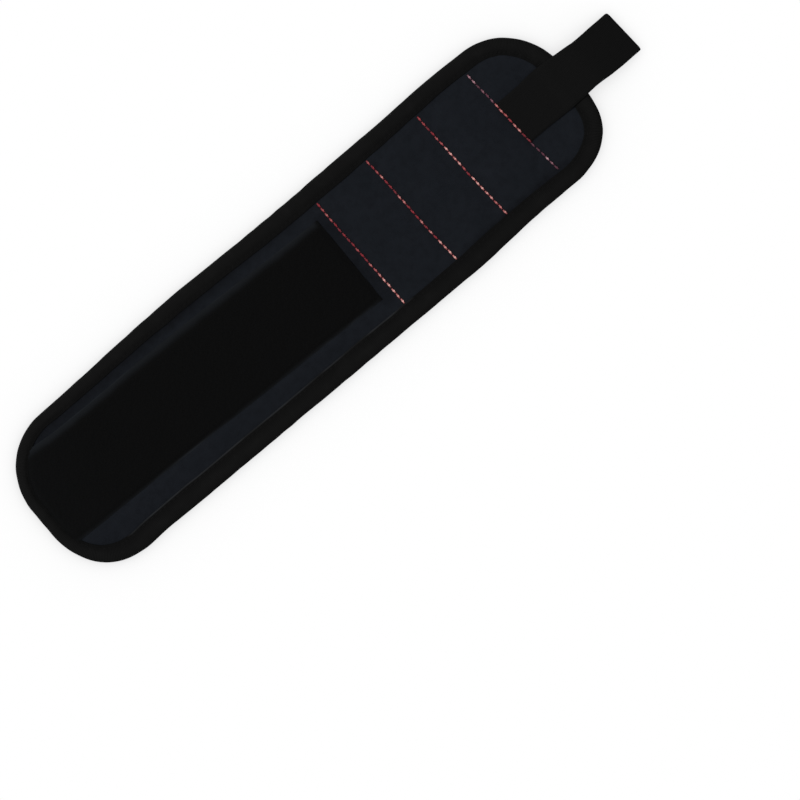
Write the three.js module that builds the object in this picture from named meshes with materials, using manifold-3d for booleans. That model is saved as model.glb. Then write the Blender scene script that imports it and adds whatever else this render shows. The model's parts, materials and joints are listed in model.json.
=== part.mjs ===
// A soft magnetic wristband, lying open and flat with its face up.
// X runs along the band towards the pull tab, Y across it, and Z up from the wrist side.
// The band is sewn from layers. Each layer is made whole, then divided at the lines where the
// band flexes, so that every panel is a body of its own and the band can wrap round an arm.

import * as THREE from 'three';
import { mergeVertices } from 'three/addons/utils/BufferGeometryUtils.js';
import Module from 'manifold-3d';

const wasm = await Module();
wasm.setup();

// Driving dimensions, in millimetres and degrees

// Sewn body, without the pull tab
const BODY_LENGTH = 356;
const BODY_WIDTH = 90;
const END_RADIUS = 37;

// Layers
const LINING_T = 3.6;
const LINING_SIDE = 1.8;
const FACE_T = 0.8;
const FACE_CROWN = 0.5;
const CROWN_SIDE = 2;
const BINDING_T = 0.9;
const BINDING_WIDTH = 11;
const BINDING_FOLD = 2;

// Seams between the magnet sections, each a row of stitches sewn a little more askew than the last
const SEAM_PITCH = 34.5;
const SEAMS = 4;
const LAST_SEAM_TO_END = 39;
const FIRST_ROW_SKEW = 1.3;
const ROW_SKEW_STEP = 0.95;
const ROW_MARGIN = 1.2;
const STITCH_LENGTH = 3.3;
const STITCH_RISE = 0.35;
const THREAD_D = 0.9;

// Plain panels on the loop half of the band, and the slit that parts one panel from the next
const LOOP_PANELS = 6;
const FLEX_SLIT = 0.4;
const FLEX_TO_THREAD = 0.6;

// Hook and loop closure
const LOOP_WIDTH = 51;
const LOOP_T = 1.7;
const LOOP_TO_SEAM = 7;
const LOOP_SKEW = 1.2;
const HOOK_LENGTH = 50;
const HOOK_WIDTH = 50;
const HOOK_T = 1.1;
const HOOK_TO_END = 15.3;
const HOOK_OFF_CENTRE = 2.6;

// Disc magnets, two to a section
const MAGNET_D = 20;
const MAGNET_T = 2;
const MAGNET_SPACING = 34;

// Webbing strap on the face, and its free end, which is two plies thick and droops to the table
const STRAP_WIDTH = 25.5;
const STRAP_T = 1.3;
const STRAP_CLIMB = 5;
const TAB_LENGTH = 34;
const TAB_DROP = 3.8;
const TAB_ROOT_SLIT = 0.8;
const BACK_PLY_T = 1.1;
const BACK_PLY_SHORT = 1.3;
const BACK_PLY_SHIFT = 1;

// Clearances
const FIT = 0.3;
const THREAD_GAP = 0.05;

// How finely round stretches are cut
const CORNER_STEPS = 5;
const EDGE_STEPS = 3;
const DISC_SIDES = 24;
const THREAD_SIDES = 3;
const THREAD_STEPS = 3;
const TAB_STEPS = 8;

// Levels and places that follow from the driving dimensions
const LINING_TOP = LINING_T;
const FACE_TOP = LINING_TOP + FACE_T;
const BINDING_TOP = FACE_TOP + BINDING_T;
const CORE_INSET = BINDING_FOLD + FIT;
const FIELD_INSET = BINDING_WIDTH + FIT;
const END_X = BODY_LENGTH / 2;
const ROW_HALF = BODY_WIDTH / 2 - BINDING_WIDTH - ROW_MARGIN;

const tangent = (degrees) => Math.tan(THREE.MathUtils.degToRad(degrees));
const rowSkew = (row) => FIRST_ROW_SKEW + ROW_SKEW_STEP * row;
const seamX = (row) => END_X - LAST_SEAM_TO_END - SEAM_PITCH * (SEAMS - 1 - row);

// Half of the length of band that the most askew row of stitches takes up
const ROW_REACH = ROW_HALF * tangent(rowSkew(SEAMS - 1)) + THREAD_D / 2;
const FLEX_TO_SEAM = ROW_REACH + FLEX_TO_THREAD + FLEX_SLIT / 2;

// The ends of the panels, from the loop end to the tab end
function panelEnds() {
  const ends = [];
  const firstSeamFlex = seamX(0) - FLEX_TO_SEAM;
  const loopPitch = (firstSeamFlex + END_X) / LOOP_PANELS;
  for (let i = 0; i < LOOP_PANELS; i += 1) {
    ends.push(-END_X + loopPitch * i);
  }
  for (let row = 0; row < SEAMS; row += 1) {
    ends.push(seamX(row) - FLEX_TO_SEAM);
  }
  ends.push(END_X);
  return ends;
}

const ENDS = panelEnds();
const PANELS = ENDS.length - 1;
const TAB_PANEL = PANELS - 1;

// Solids from shapes, and the cuts and joins between them

function toSolid(geometry) {
  geometry.deleteAttribute('normal');
  geometry.deleteAttribute('uv');
  const merged = mergeVertices(geometry, 1e-4);
  const mesh = new wasm.Mesh({
    numProp: 3,
    vertProperties: new Float32Array(merged.attributes.position.array),
    triVerts: new Uint32Array(merged.index.array),
  });
  return new wasm.Manifold(mesh);
}

function toGeometry(solid) {
  const mesh = solid.getMesh();
  const geometry = new THREE.BufferGeometry();
  geometry.setAttribute('position', new THREE.BufferAttribute(mesh.vertProperties, mesh.numProp));
  geometry.setIndex(new THREE.BufferAttribute(mesh.triVerts, 1));
  geometry.computeVertexNormals();
  return geometry;
}

// The band's outline, drawn in by the same distance all round
function outline(inset) {
  const x = END_X - inset;
  const y = BODY_WIDTH / 2 - inset;
  const r = Math.min(END_RADIUS - inset, y - FIT);
  const shape = new THREE.Shape();
  shape.moveTo(-x + r, -y);
  shape.lineTo(x - r, -y);
  shape.absarc(x - r, -y + r, r, -Math.PI / 2, 0);
  shape.lineTo(x, y - r);
  shape.absarc(x - r, y - r, r, 0, Math.PI / 2);
  shape.lineTo(-x + r, y);
  shape.absarc(-x + r, y - r, r, Math.PI / 2, Math.PI);
  shape.lineTo(-x, -y + r);
  shape.absarc(-x + r, -y + r, r, Math.PI, Math.PI * 1.5);
  return shape;
}

function rectangle(x0, x1, y0, y1) {
  const shape = new THREE.Shape();
  shape.moveTo(x0, y0);
  shape.lineTo(x1, y0);
  shape.lineTo(x1, y1);
  shape.lineTo(x0, y1);
  return shape;
}

function plate(shape, bottom, top) {
  const options = { depth: top - bottom, bevelEnabled: false, curveSegments: CORNER_STEPS };
  const geometry = new THREE.ExtrudeGeometry(shape, options);
  geometry.translate(0, 0, bottom);
  return toSolid(geometry);
}

// A plate whose top and bottom edges are rounded off, rise high and side wide
function pillow(shape, bottom, top, rise, side) {
  const geometry = new THREE.ExtrudeGeometry(shape, {
    depth: top - bottom - 2 * rise,
    bevelThickness: rise,
    bevelSize: side,
    bevelOffset: -side,
    bevelSegments: EDGE_STEPS,
    curveSegments: CORNER_STEPS,
  });
  geometry.translate(0, 0, bottom + rise);
  return toSolid(geometry);
}

function block(x0, x1, y0, y1) {
  return plate(rectangle(x0, x1, y0, y1), -BODY_WIDTH, BODY_WIDTH);
}

function disc(diameter, x, y, bottom, top) {
  const geometry = new THREE.CylinderGeometry(diameter / 2, diameter / 2, top - bottom, DISC_SIDES);
  geometry.rotateX(Math.PI / 2);
  geometry.translate(x, y, (bottom + top) / 2);
  return toSolid(geometry);
}

// The share of a layer that lies in one panel; side 1 or -1 takes one half of the width
function panelShare(solid, panel, side = 0) {
  const reach = BODY_WIDTH;
  const x0 = panel === 0 ? -END_X - reach : ENDS[panel] + FLEX_SLIT / 2;
  const x1 = panel === TAB_PANEL ? END_X + reach : ENDS[panel + 1] - FLEX_SLIT / 2;
  const y0 = side > 0 ? 0 : -reach;
  const y1 = side < 0 ? 0 : reach;
  return solid.intersect(block(x0, x1, y0, y1));
}

// Layers

// Edge tape, folded round the edge of the other layers like a C
function bindingLayer() {
  const channelFold = BINDING_FOLD - BINDING_T;
  const outside = pillow(outline(0), 0, BINDING_TOP, BINDING_FOLD, BINDING_FOLD);
  const channel = pillow(outline(BINDING_T), BINDING_T, FACE_TOP, channelFold, channelFold);
  const opening = plate(outline(BINDING_WIDTH), -BINDING_TOP, 2 * BINDING_TOP);
  return outside.subtract(channel).subtract(opening);
}

function magnetPlaces() {
  const places = [];
  for (let section = 0; section < SEAMS - 1; section += 1) {
    const x = (seamX(section) + seamX(section + 1)) / 2;
    places.push({ section, x, side: 'left', y: MAGNET_SPACING / 2 });
    places.push({ section, x, side: 'right', y: -MAGNET_SPACING / 2 });
  }
  return places;
}

function hookOutline(margin) {
  const x1 = END_X - HOOK_TO_END;
  const x0 = x1 - HOOK_LENGTH;
  const y0 = HOOK_OFF_CENTRE - HOOK_WIDTH / 2;
  const y1 = HOOK_OFF_CENTRE + HOOK_WIDTH / 2;
  return rectangle(x0 - margin, x1 + margin, y0 - margin, y1 + margin);
}

// A patch keeps inside the opening of the binding
function insideBinding(solid) {
  return solid.intersect(plate(outline(FIELD_INSET), -BINDING_TOP, 2 * BINDING_TOP));
}

// Spacer mesh: thin under the binding, full thickness inside it, with a pocket for each magnet
// and a shallow seat that the hook patch presses into its wrist side
function liningLayer() {
  const edge = plate(outline(CORE_INSET), BINDING_T, LINING_TOP);
  const field = pillow(outline(FIELD_INSET), 0, LINING_TOP, BINDING_T, LINING_SIDE);
  let lining = edge.add(field);
  for (const { x, y } of magnetPlaces()) {
    const pocket = disc(MAGNET_D + 2 * FIT, x, y, LINING_TOP - MAGNET_T, LINING_TOP + FIT);
    lining = lining.subtract(pocket);
  }
  const seat = insideBinding(plate(hookOutline(FIT), -FIT, HOOK_T));
  return lining.subtract(seat);
}

// Woven face: a flat sheet that stands a little proud over each pair of magnets
function faceLayer() {
  let face = plate(outline(CORE_INSET), LINING_TOP, FACE_TOP);
  const aboveSheet = plate(outline(0), FACE_TOP - FACE_T / 2, 2 * BINDING_TOP);
  for (let section = 0; section < SEAMS - 1; section += 1) {
    const x0 = seamX(section) + FLEX_TO_SEAM;
    const x1 = seamX(section + 1) - FLEX_TO_SEAM - FLEX_SLIT;
    const shape = rectangle(x0, x1, -ROW_HALF, ROW_HALF);
    const bottom = FACE_TOP - FACE_CROWN - FACE_T;
    const crown = pillow(shape, bottom, FACE_TOP + FACE_CROWN, FACE_CROWN, CROWN_SIDE);
    face = face.add(crown.intersect(aboveSheet));
  }
  return face;
}

// Loop pile, sewn a little askew from the end binding to near the first seam
function loopLayer() {
  const x1 = seamX(0) - LOOP_TO_SEAM;
  const shape = rectangle(-BODY_LENGTH, 0, -LOOP_WIDTH / 2, LOOP_WIDTH / 2);
  const geometry = new THREE.ExtrudeGeometry(shape, { depth: LOOP_T, bevelEnabled: false });
  geometry.rotateZ(-THREE.MathUtils.degToRad(LOOP_SKEW));
  geometry.translate(x1, 0, FACE_TOP);
  return insideBinding(toSolid(geometry));
}

function hookLayer() {
  return insideBinding(plate(hookOutline(0), 0, HOOK_T));
}

// Strap, sewn down under the last row of stitches, that climbs over the end binding
function strapProfile() {
  const halfFlat = BODY_WIDTH / 2 - END_RADIUS;
  const r = END_RADIUS - BINDING_WIDTH;
  const across = Math.max(STRAP_WIDTH / 2 - halfFlat, 0);
  const bindingStart = END_X - END_RADIUS + Math.sqrt(r * r - across * across);
  const x0 = seamX(SEAMS - 1) - (STRAP_WIDTH / 2) * tangent(rowSkew(SEAMS - 1)) - THREAD_D;
  const x2 = bindingStart - FIT;
  const x1 = x2 - STRAP_CLIMB;
  const shape = new THREE.Shape();
  shape.moveTo(x0, FACE_TOP);
  shape.lineTo(x1, FACE_TOP);
  shape.lineTo(x2, BINDING_TOP);
  shape.lineTo(END_X, BINDING_TOP);
  shape.lineTo(END_X, BINDING_TOP + STRAP_T);
  shape.lineTo(x2, BINDING_TOP + STRAP_T);
  shape.lineTo(x1, FACE_TOP + STRAP_T);
  shape.lineTo(x0, FACE_TOP + STRAP_T);
  return shape;
}

// The free end bends down along an arc that leaves the strap level
const TAB_ROOT_X = END_X + TAB_ROOT_SLIT;
const TAB_RUN = TAB_LENGTH - TAB_ROOT_SLIT;
const TAB_ARC_R = (TAB_RUN * TAB_RUN + TAB_DROP * TAB_DROP) / (2 * TAB_DROP);
const TAB_ARC_Z = BINDING_TOP - TAB_ARC_R;

// One ply between two heights above the arc, as long as the run less what it is short of
function tabProfile(low, high, short) {
  const turn = Math.asin((TAB_RUN - short) / TAB_ARC_R);
  const up = Math.PI / 2;
  const shape = new THREE.Shape();
  shape.absarc(TAB_ROOT_X, TAB_ARC_Z, TAB_ARC_R + high, up, up - turn, true);
  shape.absarc(TAB_ROOT_X, TAB_ARC_Z, TAB_ARC_R + low, up - turn, up, false);
  return shape;
}

// A profile drawn in X and Z, carried across the band
function acrossBand(profile, width, shift = 0) {
  const options = { depth: width, bevelEnabled: false, curveSegments: TAB_STEPS };
  const geometry = new THREE.ExtrudeGeometry(profile, options);
  geometry.rotateX(Math.PI / 2);
  geometry.translate(0, width / 2 + shift, 0);
  return toSolid(geometry);
}

// One row of stitches: a single thread that rises over each stitch and dips at each needle hole.
// The last row also climbs over the end of the strap.
function stitchRow(row) {
  const stitches = Math.round((2 * ROW_HALF) / STITCH_LENGTH);
  const section = new THREE.Shape();
  section.absarc(0, 0, THREAD_D / 2, 0, Math.PI * 2);
  const geometry = new THREE.ExtrudeGeometry(section, {
    depth: 2 * ROW_HALF,
    steps: stitches * THREAD_STEPS,
    bevelEnabled: false,
    curveSegments: THREAD_SIDES,
  });
  geometry.rotateX(Math.PI / 2);
  geometry.translate(0, ROW_HALF, 0);
  const climbEnd = STRAP_WIDTH / 2 + THREAD_D;
  const climbStart = climbEnd + STITCH_LENGTH;
  const points = geometry.attributes.position;
  for (let i = 0; i < points.count; i += 1) {
    const y = points.getY(i);
    const along = ((ROW_HALF - y) / (2 * ROW_HALF)) * stitches;
    const rise = STITCH_RISE * Math.abs(Math.sin(Math.PI * along));
    const onStrap = row === SEAMS - 1 ? 1 - THREE.MathUtils.smoothstep(Math.abs(y), climbEnd, climbStart) : 0;
    const seat = FACE_TOP + THREAD_GAP + THREAD_D / 2 + STRAP_T * onStrap;
    points.setX(i, points.getX(i) + seamX(row) - y * tangent(rowSkew(row)));
    points.setZ(i, points.getZ(i) + seat + rise);
  }
  return toSolid(geometry);
}

// Materials

function cloth(color, roughness) {
  return () => new THREE.MeshStandardMaterial({ color, roughness, metalness: 0 });
}

const bindingTape = cloth(0x131313, 0.85);
const spacerMesh = cloth(0x1d1d1b, 0.95);
const navyCloth = cloth(0x191c22, 0.8);
const loopPile = cloth(0x0d0d0d, 1);
const hookTape = cloth(0x1e1e1d, 0.9);
const webbing = cloth(0x121212, 0.85);
const redThread = cloth(0xb93a44, 0.6);
const nickel = () => new THREE.MeshStandardMaterial({ color: 0xb9b7b0, roughness: 0.3, metalness: 1 });

// Assembly

const band = new THREE.Group();

function addPiece(name, solid, material) {
  const mesh = new THREE.Mesh(toGeometry(solid), material());
  mesh.name = name;
  band.add(mesh);
}

const binding = bindingLayer();
const lining = liningLayer();
const face = faceLayer();
const loop = loopLayer();
const hook = hookLayer();

for (let panel = 0; panel < PANELS; panel += 1) {
  const number = panel + 1;
  addPiece(`face_${number}`, panelShare(face, panel), navyCloth);
  addPiece(`lining_${number}`, panelShare(lining, panel), spacerMesh);
  if (panel === 0 || panel === TAB_PANEL) {
    addPiece(`binding_end_${number}`, panelShare(binding, panel), bindingTape);
  } else {
    addPiece(`binding_left_${number}`, panelShare(binding, panel, 1), bindingTape);
    addPiece(`binding_right_${number}`, panelShare(binding, panel, -1), bindingTape);
  }
  if (panel < LOOP_PANELS) {
    addPiece(`loop_patch_${number}`, panelShare(loop, panel), loopPile);
  }
}

addPiece('hook_patch_inner', panelShare(hook, TAB_PANEL - 1), hookTape);
addPiece('hook_patch_outer', panelShare(hook, TAB_PANEL), hookTape);

for (const { section, side, x, y } of magnetPlaces()) {
  const magnet = disc(MAGNET_D, x, y, LINING_TOP - MAGNET_T, LINING_TOP);
  addPiece(`magnet_${section + 1}_${side}`, magnet, nickel);
}

for (let row = 0; row < SEAMS; row += 1) {
  addPiece(`stitch_row_${row + 1}`, stitchRow(row), redThread);
}

addPiece('strap_base', acrossBand(strapProfile(), STRAP_WIDTH), webbing);
addPiece('pull_tab', acrossBand(tabProfile(0, STRAP_T, 0), STRAP_WIDTH), webbing);
const backPly = tabProfile(-FIT - BACK_PLY_T, -FIT, BACK_PLY_SHORT);
addPiece('pull_tab_back', acrossBand(backPly, STRAP_WIDTH - BACK_PLY_SHIFT, BACK_PLY_SHIFT / 2), webbing);

// The origin is under the middle of the band with its tab
const tabReach = TAB_ROOT_X + (TAB_RUN * (TAB_ARC_R + STRAP_T)) / TAB_ARC_R;
band.position.x = (END_X - tabReach) / 2;

const wristband = new THREE.Group();
wristband.add(band);

export default wristband;
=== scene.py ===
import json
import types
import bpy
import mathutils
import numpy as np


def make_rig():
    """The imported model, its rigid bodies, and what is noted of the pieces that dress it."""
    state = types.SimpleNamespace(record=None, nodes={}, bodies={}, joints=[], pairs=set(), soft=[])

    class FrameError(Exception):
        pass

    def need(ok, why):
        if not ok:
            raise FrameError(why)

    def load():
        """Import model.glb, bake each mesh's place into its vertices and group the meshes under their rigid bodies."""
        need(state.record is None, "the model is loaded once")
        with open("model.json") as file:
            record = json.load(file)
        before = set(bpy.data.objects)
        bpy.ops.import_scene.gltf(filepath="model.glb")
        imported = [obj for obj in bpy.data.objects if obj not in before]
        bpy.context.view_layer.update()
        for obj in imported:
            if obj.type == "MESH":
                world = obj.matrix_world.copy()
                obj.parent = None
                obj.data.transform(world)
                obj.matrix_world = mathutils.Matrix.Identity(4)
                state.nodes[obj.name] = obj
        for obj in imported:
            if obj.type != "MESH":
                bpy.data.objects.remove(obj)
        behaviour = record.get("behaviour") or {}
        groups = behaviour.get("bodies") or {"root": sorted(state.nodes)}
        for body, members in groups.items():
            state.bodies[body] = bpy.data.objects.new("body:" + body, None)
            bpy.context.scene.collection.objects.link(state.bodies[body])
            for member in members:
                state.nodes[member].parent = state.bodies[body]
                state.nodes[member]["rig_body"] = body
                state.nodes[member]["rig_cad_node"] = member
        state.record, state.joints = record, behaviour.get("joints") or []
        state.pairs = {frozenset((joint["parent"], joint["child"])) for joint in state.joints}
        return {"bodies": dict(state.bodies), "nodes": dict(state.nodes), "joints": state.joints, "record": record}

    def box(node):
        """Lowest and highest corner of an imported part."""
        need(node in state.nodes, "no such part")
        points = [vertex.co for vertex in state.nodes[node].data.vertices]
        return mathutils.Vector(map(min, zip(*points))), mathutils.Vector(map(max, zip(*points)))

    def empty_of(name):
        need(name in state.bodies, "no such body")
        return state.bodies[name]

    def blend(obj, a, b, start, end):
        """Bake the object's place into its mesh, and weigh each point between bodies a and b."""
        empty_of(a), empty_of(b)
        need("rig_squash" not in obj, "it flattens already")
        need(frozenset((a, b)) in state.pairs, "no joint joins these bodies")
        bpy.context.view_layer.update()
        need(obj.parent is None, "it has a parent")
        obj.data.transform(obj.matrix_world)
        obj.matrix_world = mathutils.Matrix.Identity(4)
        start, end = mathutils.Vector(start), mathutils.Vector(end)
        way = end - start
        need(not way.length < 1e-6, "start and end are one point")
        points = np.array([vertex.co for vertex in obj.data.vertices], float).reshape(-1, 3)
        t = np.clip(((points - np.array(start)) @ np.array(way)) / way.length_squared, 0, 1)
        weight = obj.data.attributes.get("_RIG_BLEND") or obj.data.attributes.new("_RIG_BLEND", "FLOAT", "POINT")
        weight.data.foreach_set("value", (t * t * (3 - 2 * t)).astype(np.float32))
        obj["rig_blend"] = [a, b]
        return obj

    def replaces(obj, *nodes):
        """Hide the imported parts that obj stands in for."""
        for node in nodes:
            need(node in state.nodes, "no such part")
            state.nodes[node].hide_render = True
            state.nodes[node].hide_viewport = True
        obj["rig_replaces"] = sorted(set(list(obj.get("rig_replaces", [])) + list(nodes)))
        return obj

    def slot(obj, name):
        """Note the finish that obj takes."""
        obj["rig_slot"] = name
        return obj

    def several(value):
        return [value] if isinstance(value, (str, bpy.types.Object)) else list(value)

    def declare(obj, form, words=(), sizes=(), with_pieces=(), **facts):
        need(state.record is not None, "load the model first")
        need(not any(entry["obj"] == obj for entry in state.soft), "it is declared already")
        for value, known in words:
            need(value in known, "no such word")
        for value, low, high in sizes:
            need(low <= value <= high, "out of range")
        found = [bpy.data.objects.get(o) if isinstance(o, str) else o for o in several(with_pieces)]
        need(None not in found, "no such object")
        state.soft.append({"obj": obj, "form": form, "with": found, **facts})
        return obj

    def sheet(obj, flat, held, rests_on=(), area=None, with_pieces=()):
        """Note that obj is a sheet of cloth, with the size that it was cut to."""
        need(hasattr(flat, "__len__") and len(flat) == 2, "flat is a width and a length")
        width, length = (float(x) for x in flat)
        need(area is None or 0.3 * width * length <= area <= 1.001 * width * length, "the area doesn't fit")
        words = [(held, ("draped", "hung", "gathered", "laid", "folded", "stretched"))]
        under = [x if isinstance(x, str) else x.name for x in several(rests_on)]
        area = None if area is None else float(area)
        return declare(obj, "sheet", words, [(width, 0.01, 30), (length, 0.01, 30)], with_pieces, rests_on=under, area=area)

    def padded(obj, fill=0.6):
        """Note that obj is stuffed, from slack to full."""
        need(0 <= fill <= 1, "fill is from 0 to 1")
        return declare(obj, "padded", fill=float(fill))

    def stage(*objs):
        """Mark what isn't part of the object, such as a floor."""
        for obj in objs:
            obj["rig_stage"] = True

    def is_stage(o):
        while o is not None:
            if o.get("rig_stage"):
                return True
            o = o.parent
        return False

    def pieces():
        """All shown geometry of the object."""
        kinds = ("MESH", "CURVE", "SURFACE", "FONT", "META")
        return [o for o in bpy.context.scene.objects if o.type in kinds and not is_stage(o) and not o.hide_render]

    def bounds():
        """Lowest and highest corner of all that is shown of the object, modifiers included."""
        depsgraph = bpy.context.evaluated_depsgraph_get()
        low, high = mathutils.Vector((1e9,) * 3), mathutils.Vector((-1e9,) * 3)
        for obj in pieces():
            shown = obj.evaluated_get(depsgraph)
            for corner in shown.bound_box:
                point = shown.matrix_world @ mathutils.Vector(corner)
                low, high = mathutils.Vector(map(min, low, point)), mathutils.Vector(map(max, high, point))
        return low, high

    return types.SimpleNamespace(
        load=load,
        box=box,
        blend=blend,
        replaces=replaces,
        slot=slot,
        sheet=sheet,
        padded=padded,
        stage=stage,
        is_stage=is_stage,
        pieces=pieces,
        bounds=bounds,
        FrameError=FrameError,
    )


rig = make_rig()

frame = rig.load()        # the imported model, which stays where it is

import json
import math

import bpy
import numpy as np

# The band lies flat with its face up: X along it to the pull tab, Y across it, Z up.
# Shapes are worked out in millimetres and turned into metres when a piece is made.

CAD_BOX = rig.bounds()
MM = 0.001


def edge(node, end, axis=0):
    """A CAD node's lowest (end 0) or highest (end 1) coordinate, in millimetres."""
    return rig.box(node)[end][axis] / MM


def middle(node, axis=0):
    return (edge(node, 0, axis) + edge(node, 1, axis)) / 2


def ramp(a, b, x):
    """0 at a, 1 at b, and smooth between them."""
    t = np.clip((np.asarray(x, float) - a) / (b - a), 0, 1)
    return t * t * (3 - 2 * t)


def bell(off, width):
    """1 where off is 0, and next to nothing at twice that width from it."""
    return np.exp(-(off / width) ** 2)


def between(pick, i, j, f, g):
    """The value between four neighbours that pick gives, f and g of the way along."""
    low = pick(i, j) * (1 - f) + pick(i + 1, j) * f
    high = pick(i, j + 1) * (1 - f) + pick(i + 1, j + 1) * f
    return low * (1 - g) + high * g


def noise(x, y, size, seed):
    """Smooth noise from -0.5 to 0.5 with features of that size, the same in every run."""
    cells = 64
    table = np.random.RandomState(seed).rand(cells, cells)
    u, v = np.asarray(x, float) / size, np.asarray(y, float) / size
    i, j = np.floor(u).astype(int), np.floor(v).astype(int)
    f, g = u - i, v - j
    f, g = f * f * (3 - 2 * f), g * g * (3 - 2 * g)
    return between(lambda a, b: table[a % cells, b % cells], i, j, f, g) - 0.5


# Places on the band, taken from the CAD nodes

BODIES = [f"loop_panel_{i}" for i in range(1, 7)]
BODIES += [f"magnet_panel_{i}" for i in range(1, 4)] + ["tab_panel"]
PANELS = len(BODIES)
LEFT, RIGHT = edge("binding_end_1", 0), edge("binding_end_10", 1)
FLEX = [(edge(f"face_{k}", 1) + edge(f"face_{k + 1}", 0)) / 2 for k in range(1, PANELS)]
ENDS = [LEFT, *FLEX, RIGHT]
MID = [(a + b) / 2 for a, b in zip(ENDS, ENDS[1:])]
ZONE_X = [LEFT, *MID[1:-1], RIGHT]  # soft pieces are parted at the middles of the panels
ZONES = PANELS - 1

CENTRE_X = (LEFT + RIGHT) / 2
HALF_LENGTH = (RIGHT - LEFT) / 2
HALF_WIDTH = edge("binding_end_1", 1, 1)
END_RADIUS = 37.0
ARC_X = HALF_LENGTH - END_RADIUS  # from the centre to where the ends begin to turn
FLAT_Y = HALF_WIDTH - END_RADIUS  # half of the straight stretch of each end
CORNER = END_RADIUS * math.pi / 2
PERIMETER = 4 * (ARC_X + FLAT_Y + CORNER)
THICK = edge("binding_left_5", 1, 2)  # over the binding

SEWN_OFF = (-0.1, -0.5, -0.75, -0.9)  # how far each row was sewn beside its drawn line
ROWS = len(SEWN_OFF)
LAST_ROW = ROWS - 1  # the one that holds the strap
SEAM_X = [middle(f"stitch_row_{r + 1}") + SEWN_OFF[r] for r in range(ROWS)]
SKEW = [math.radians(a) for a in (0.9, 2.3, 2.75, 3.8)]
ROW_TOP, ROW_LOW = 34.3, -34.1  # the ends of a row of stitches
STITCHES = 20
STITCH = (ROW_TOP - ROW_LOW) / STITCHES
# How far each row wanders from a straight line, at places from its -Y end to its +Y end
WANDER_Y = np.linspace(ROW_LOW, ROW_TOP, 8)
WANDER = (
    (0.18, 0.18, 0.18, -0.05, 0, -0.2, -0.05, 0),
    (-0.1, -0.17, -0.45, -0.25, -0.13, 0.1, 0.05, 0),
    (-0.1, -0.16, -0.2, -0.36, -0.16, -0.1, 0.15, 0.2),
    (-0.3, -0.56, -0.95, -0.95, -0.65, -0.4, -0.35, -0.3),
)

LOOP_END = edge("loop_patch_6", 1)
PILE_EDGE = (23.2, 23.9)  # from the patch's middle line to its pile's edges, on +Y and -Y
SELVEDGE = (27.1, 25.4)  # and to the edges of its woven selvedges
LOOP_SKEW = math.tan(math.radians(1.66))
HOOK_X0, HOOK_X1 = edge("hook_patch_inner", 0), edge("hook_patch_outer", 1)
HOOK_Y0, HOOK_Y1 = edge("hook_patch_inner", 0, 1), edge("hook_patch_inner", 1, 1)
STRAP_HALF = edge("strap_base", 1, 1)
STRAP_T = 1.3  # the strap's thickness
STRAP_LEVEL = 4.42  # the strap's underside on the face
MAGNETS = [(middle(n), middle(n, 1)) for n in frame["nodes"] if n.startswith("magnet_")]


def zone_of(x):
    return np.clip(np.searchsorted(ZONE_X, x) - 1, 0, ZONES - 1)


def inset(x, y):
    """How far inside the drawn outline a point lies."""
    qx = np.abs(np.asarray(x, float) - CENTRE_X) - ARC_X
    qy = np.abs(np.asarray(y, float)) - FLAT_Y
    out = np.hypot(np.maximum(qx, 0), np.maximum(qy, 0)) + np.minimum(np.maximum(qx, qy), 0)
    return END_RADIUS - out


def half_width(x, d):
    """Half of the band's width at x, measured to a line drawn d inside the outline."""
    r = END_RADIUS - d
    t = np.clip(np.abs(np.asarray(x, float) - CENTRE_X) - ARC_X, 0, r)
    return FLAT_Y + np.sqrt(np.maximum(r * r - t * t, 0))


def around(x, y):
    """The place round the outline that is nearest to a point, in millimetres from the plain end
    of the +Y side on towards the tab, and the direction outward there."""
    px, py = np.asarray(x, float) - CENTRE_X, np.asarray(y, float)
    qx, qy = np.clip(px, -ARC_X, ARC_X), np.clip(py, -FLAT_Y, FLAT_Y)
    turned = (math.pi / 2 - np.arctan2(py - qy, px - qx)) % (2 * math.pi)
    quarter = np.minimum(turned // (math.pi / 2), 3).astype(int)
    core = np.choose(quarter, [
        qx + ARC_X,
        2 * ARC_X + FLAT_Y - qy,
        3 * ARC_X + 2 * FLAT_Y - qx,
        4 * ARC_X + 3 * FLAT_Y + qy,
    ])
    return core + END_RADIUS * turned, np.stack([np.sin(turned), np.cos(turned)], -1)


def outline_at(place):
    """The point of the outline at a place round it, and the direction outward."""
    runs = [0, 2 * ARC_X, CORNER, 2 * FLAT_Y, CORNER, 2 * ARC_X, CORNER, 2 * FLAT_Y, CORNER]
    at = np.cumsum(runs)
    place = np.asarray(place, float) % PERIMETER
    quarter_turns = np.interp(place, at, [0, 0, 1, 1, 2, 2, 3, 3, 4])
    side = np.array([-1, 1, 1, 1, 1, -1, -1, -1, -1])
    height = np.array([1, 1, 1, -1, -1, -1, -1, 1, 1])
    x = CENTRE_X + ARC_X * np.interp(place, at, side)
    y = FLAT_Y * np.interp(place, at, height)
    out = np.stack([np.sin(quarter_turns * math.pi / 2), np.cos(quarter_turns * math.pi / 2)], -1)
    return np.stack([x, y], -1) + END_RADIUS * out, out


def round_curve(knots, soft):
    """A smooth curve of the place round the outline, near to (place, value) pairs."""
    at, value = np.array(knots).T
    s = np.arange(0, PERIMETER, 1.0)
    line = np.tile(np.interp(s, at, value, period=PERIMETER), 3)
    kernel = np.exp(-0.5 * (np.arange(-3 * soft, 3 * soft + 1) / soft) ** 2)
    line = np.convolve(line, kernel / kernel.sum(), "same")[len(s):2 * len(s)]
    return lambda place: np.interp(place, s, line, period=PERIMETER)


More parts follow.
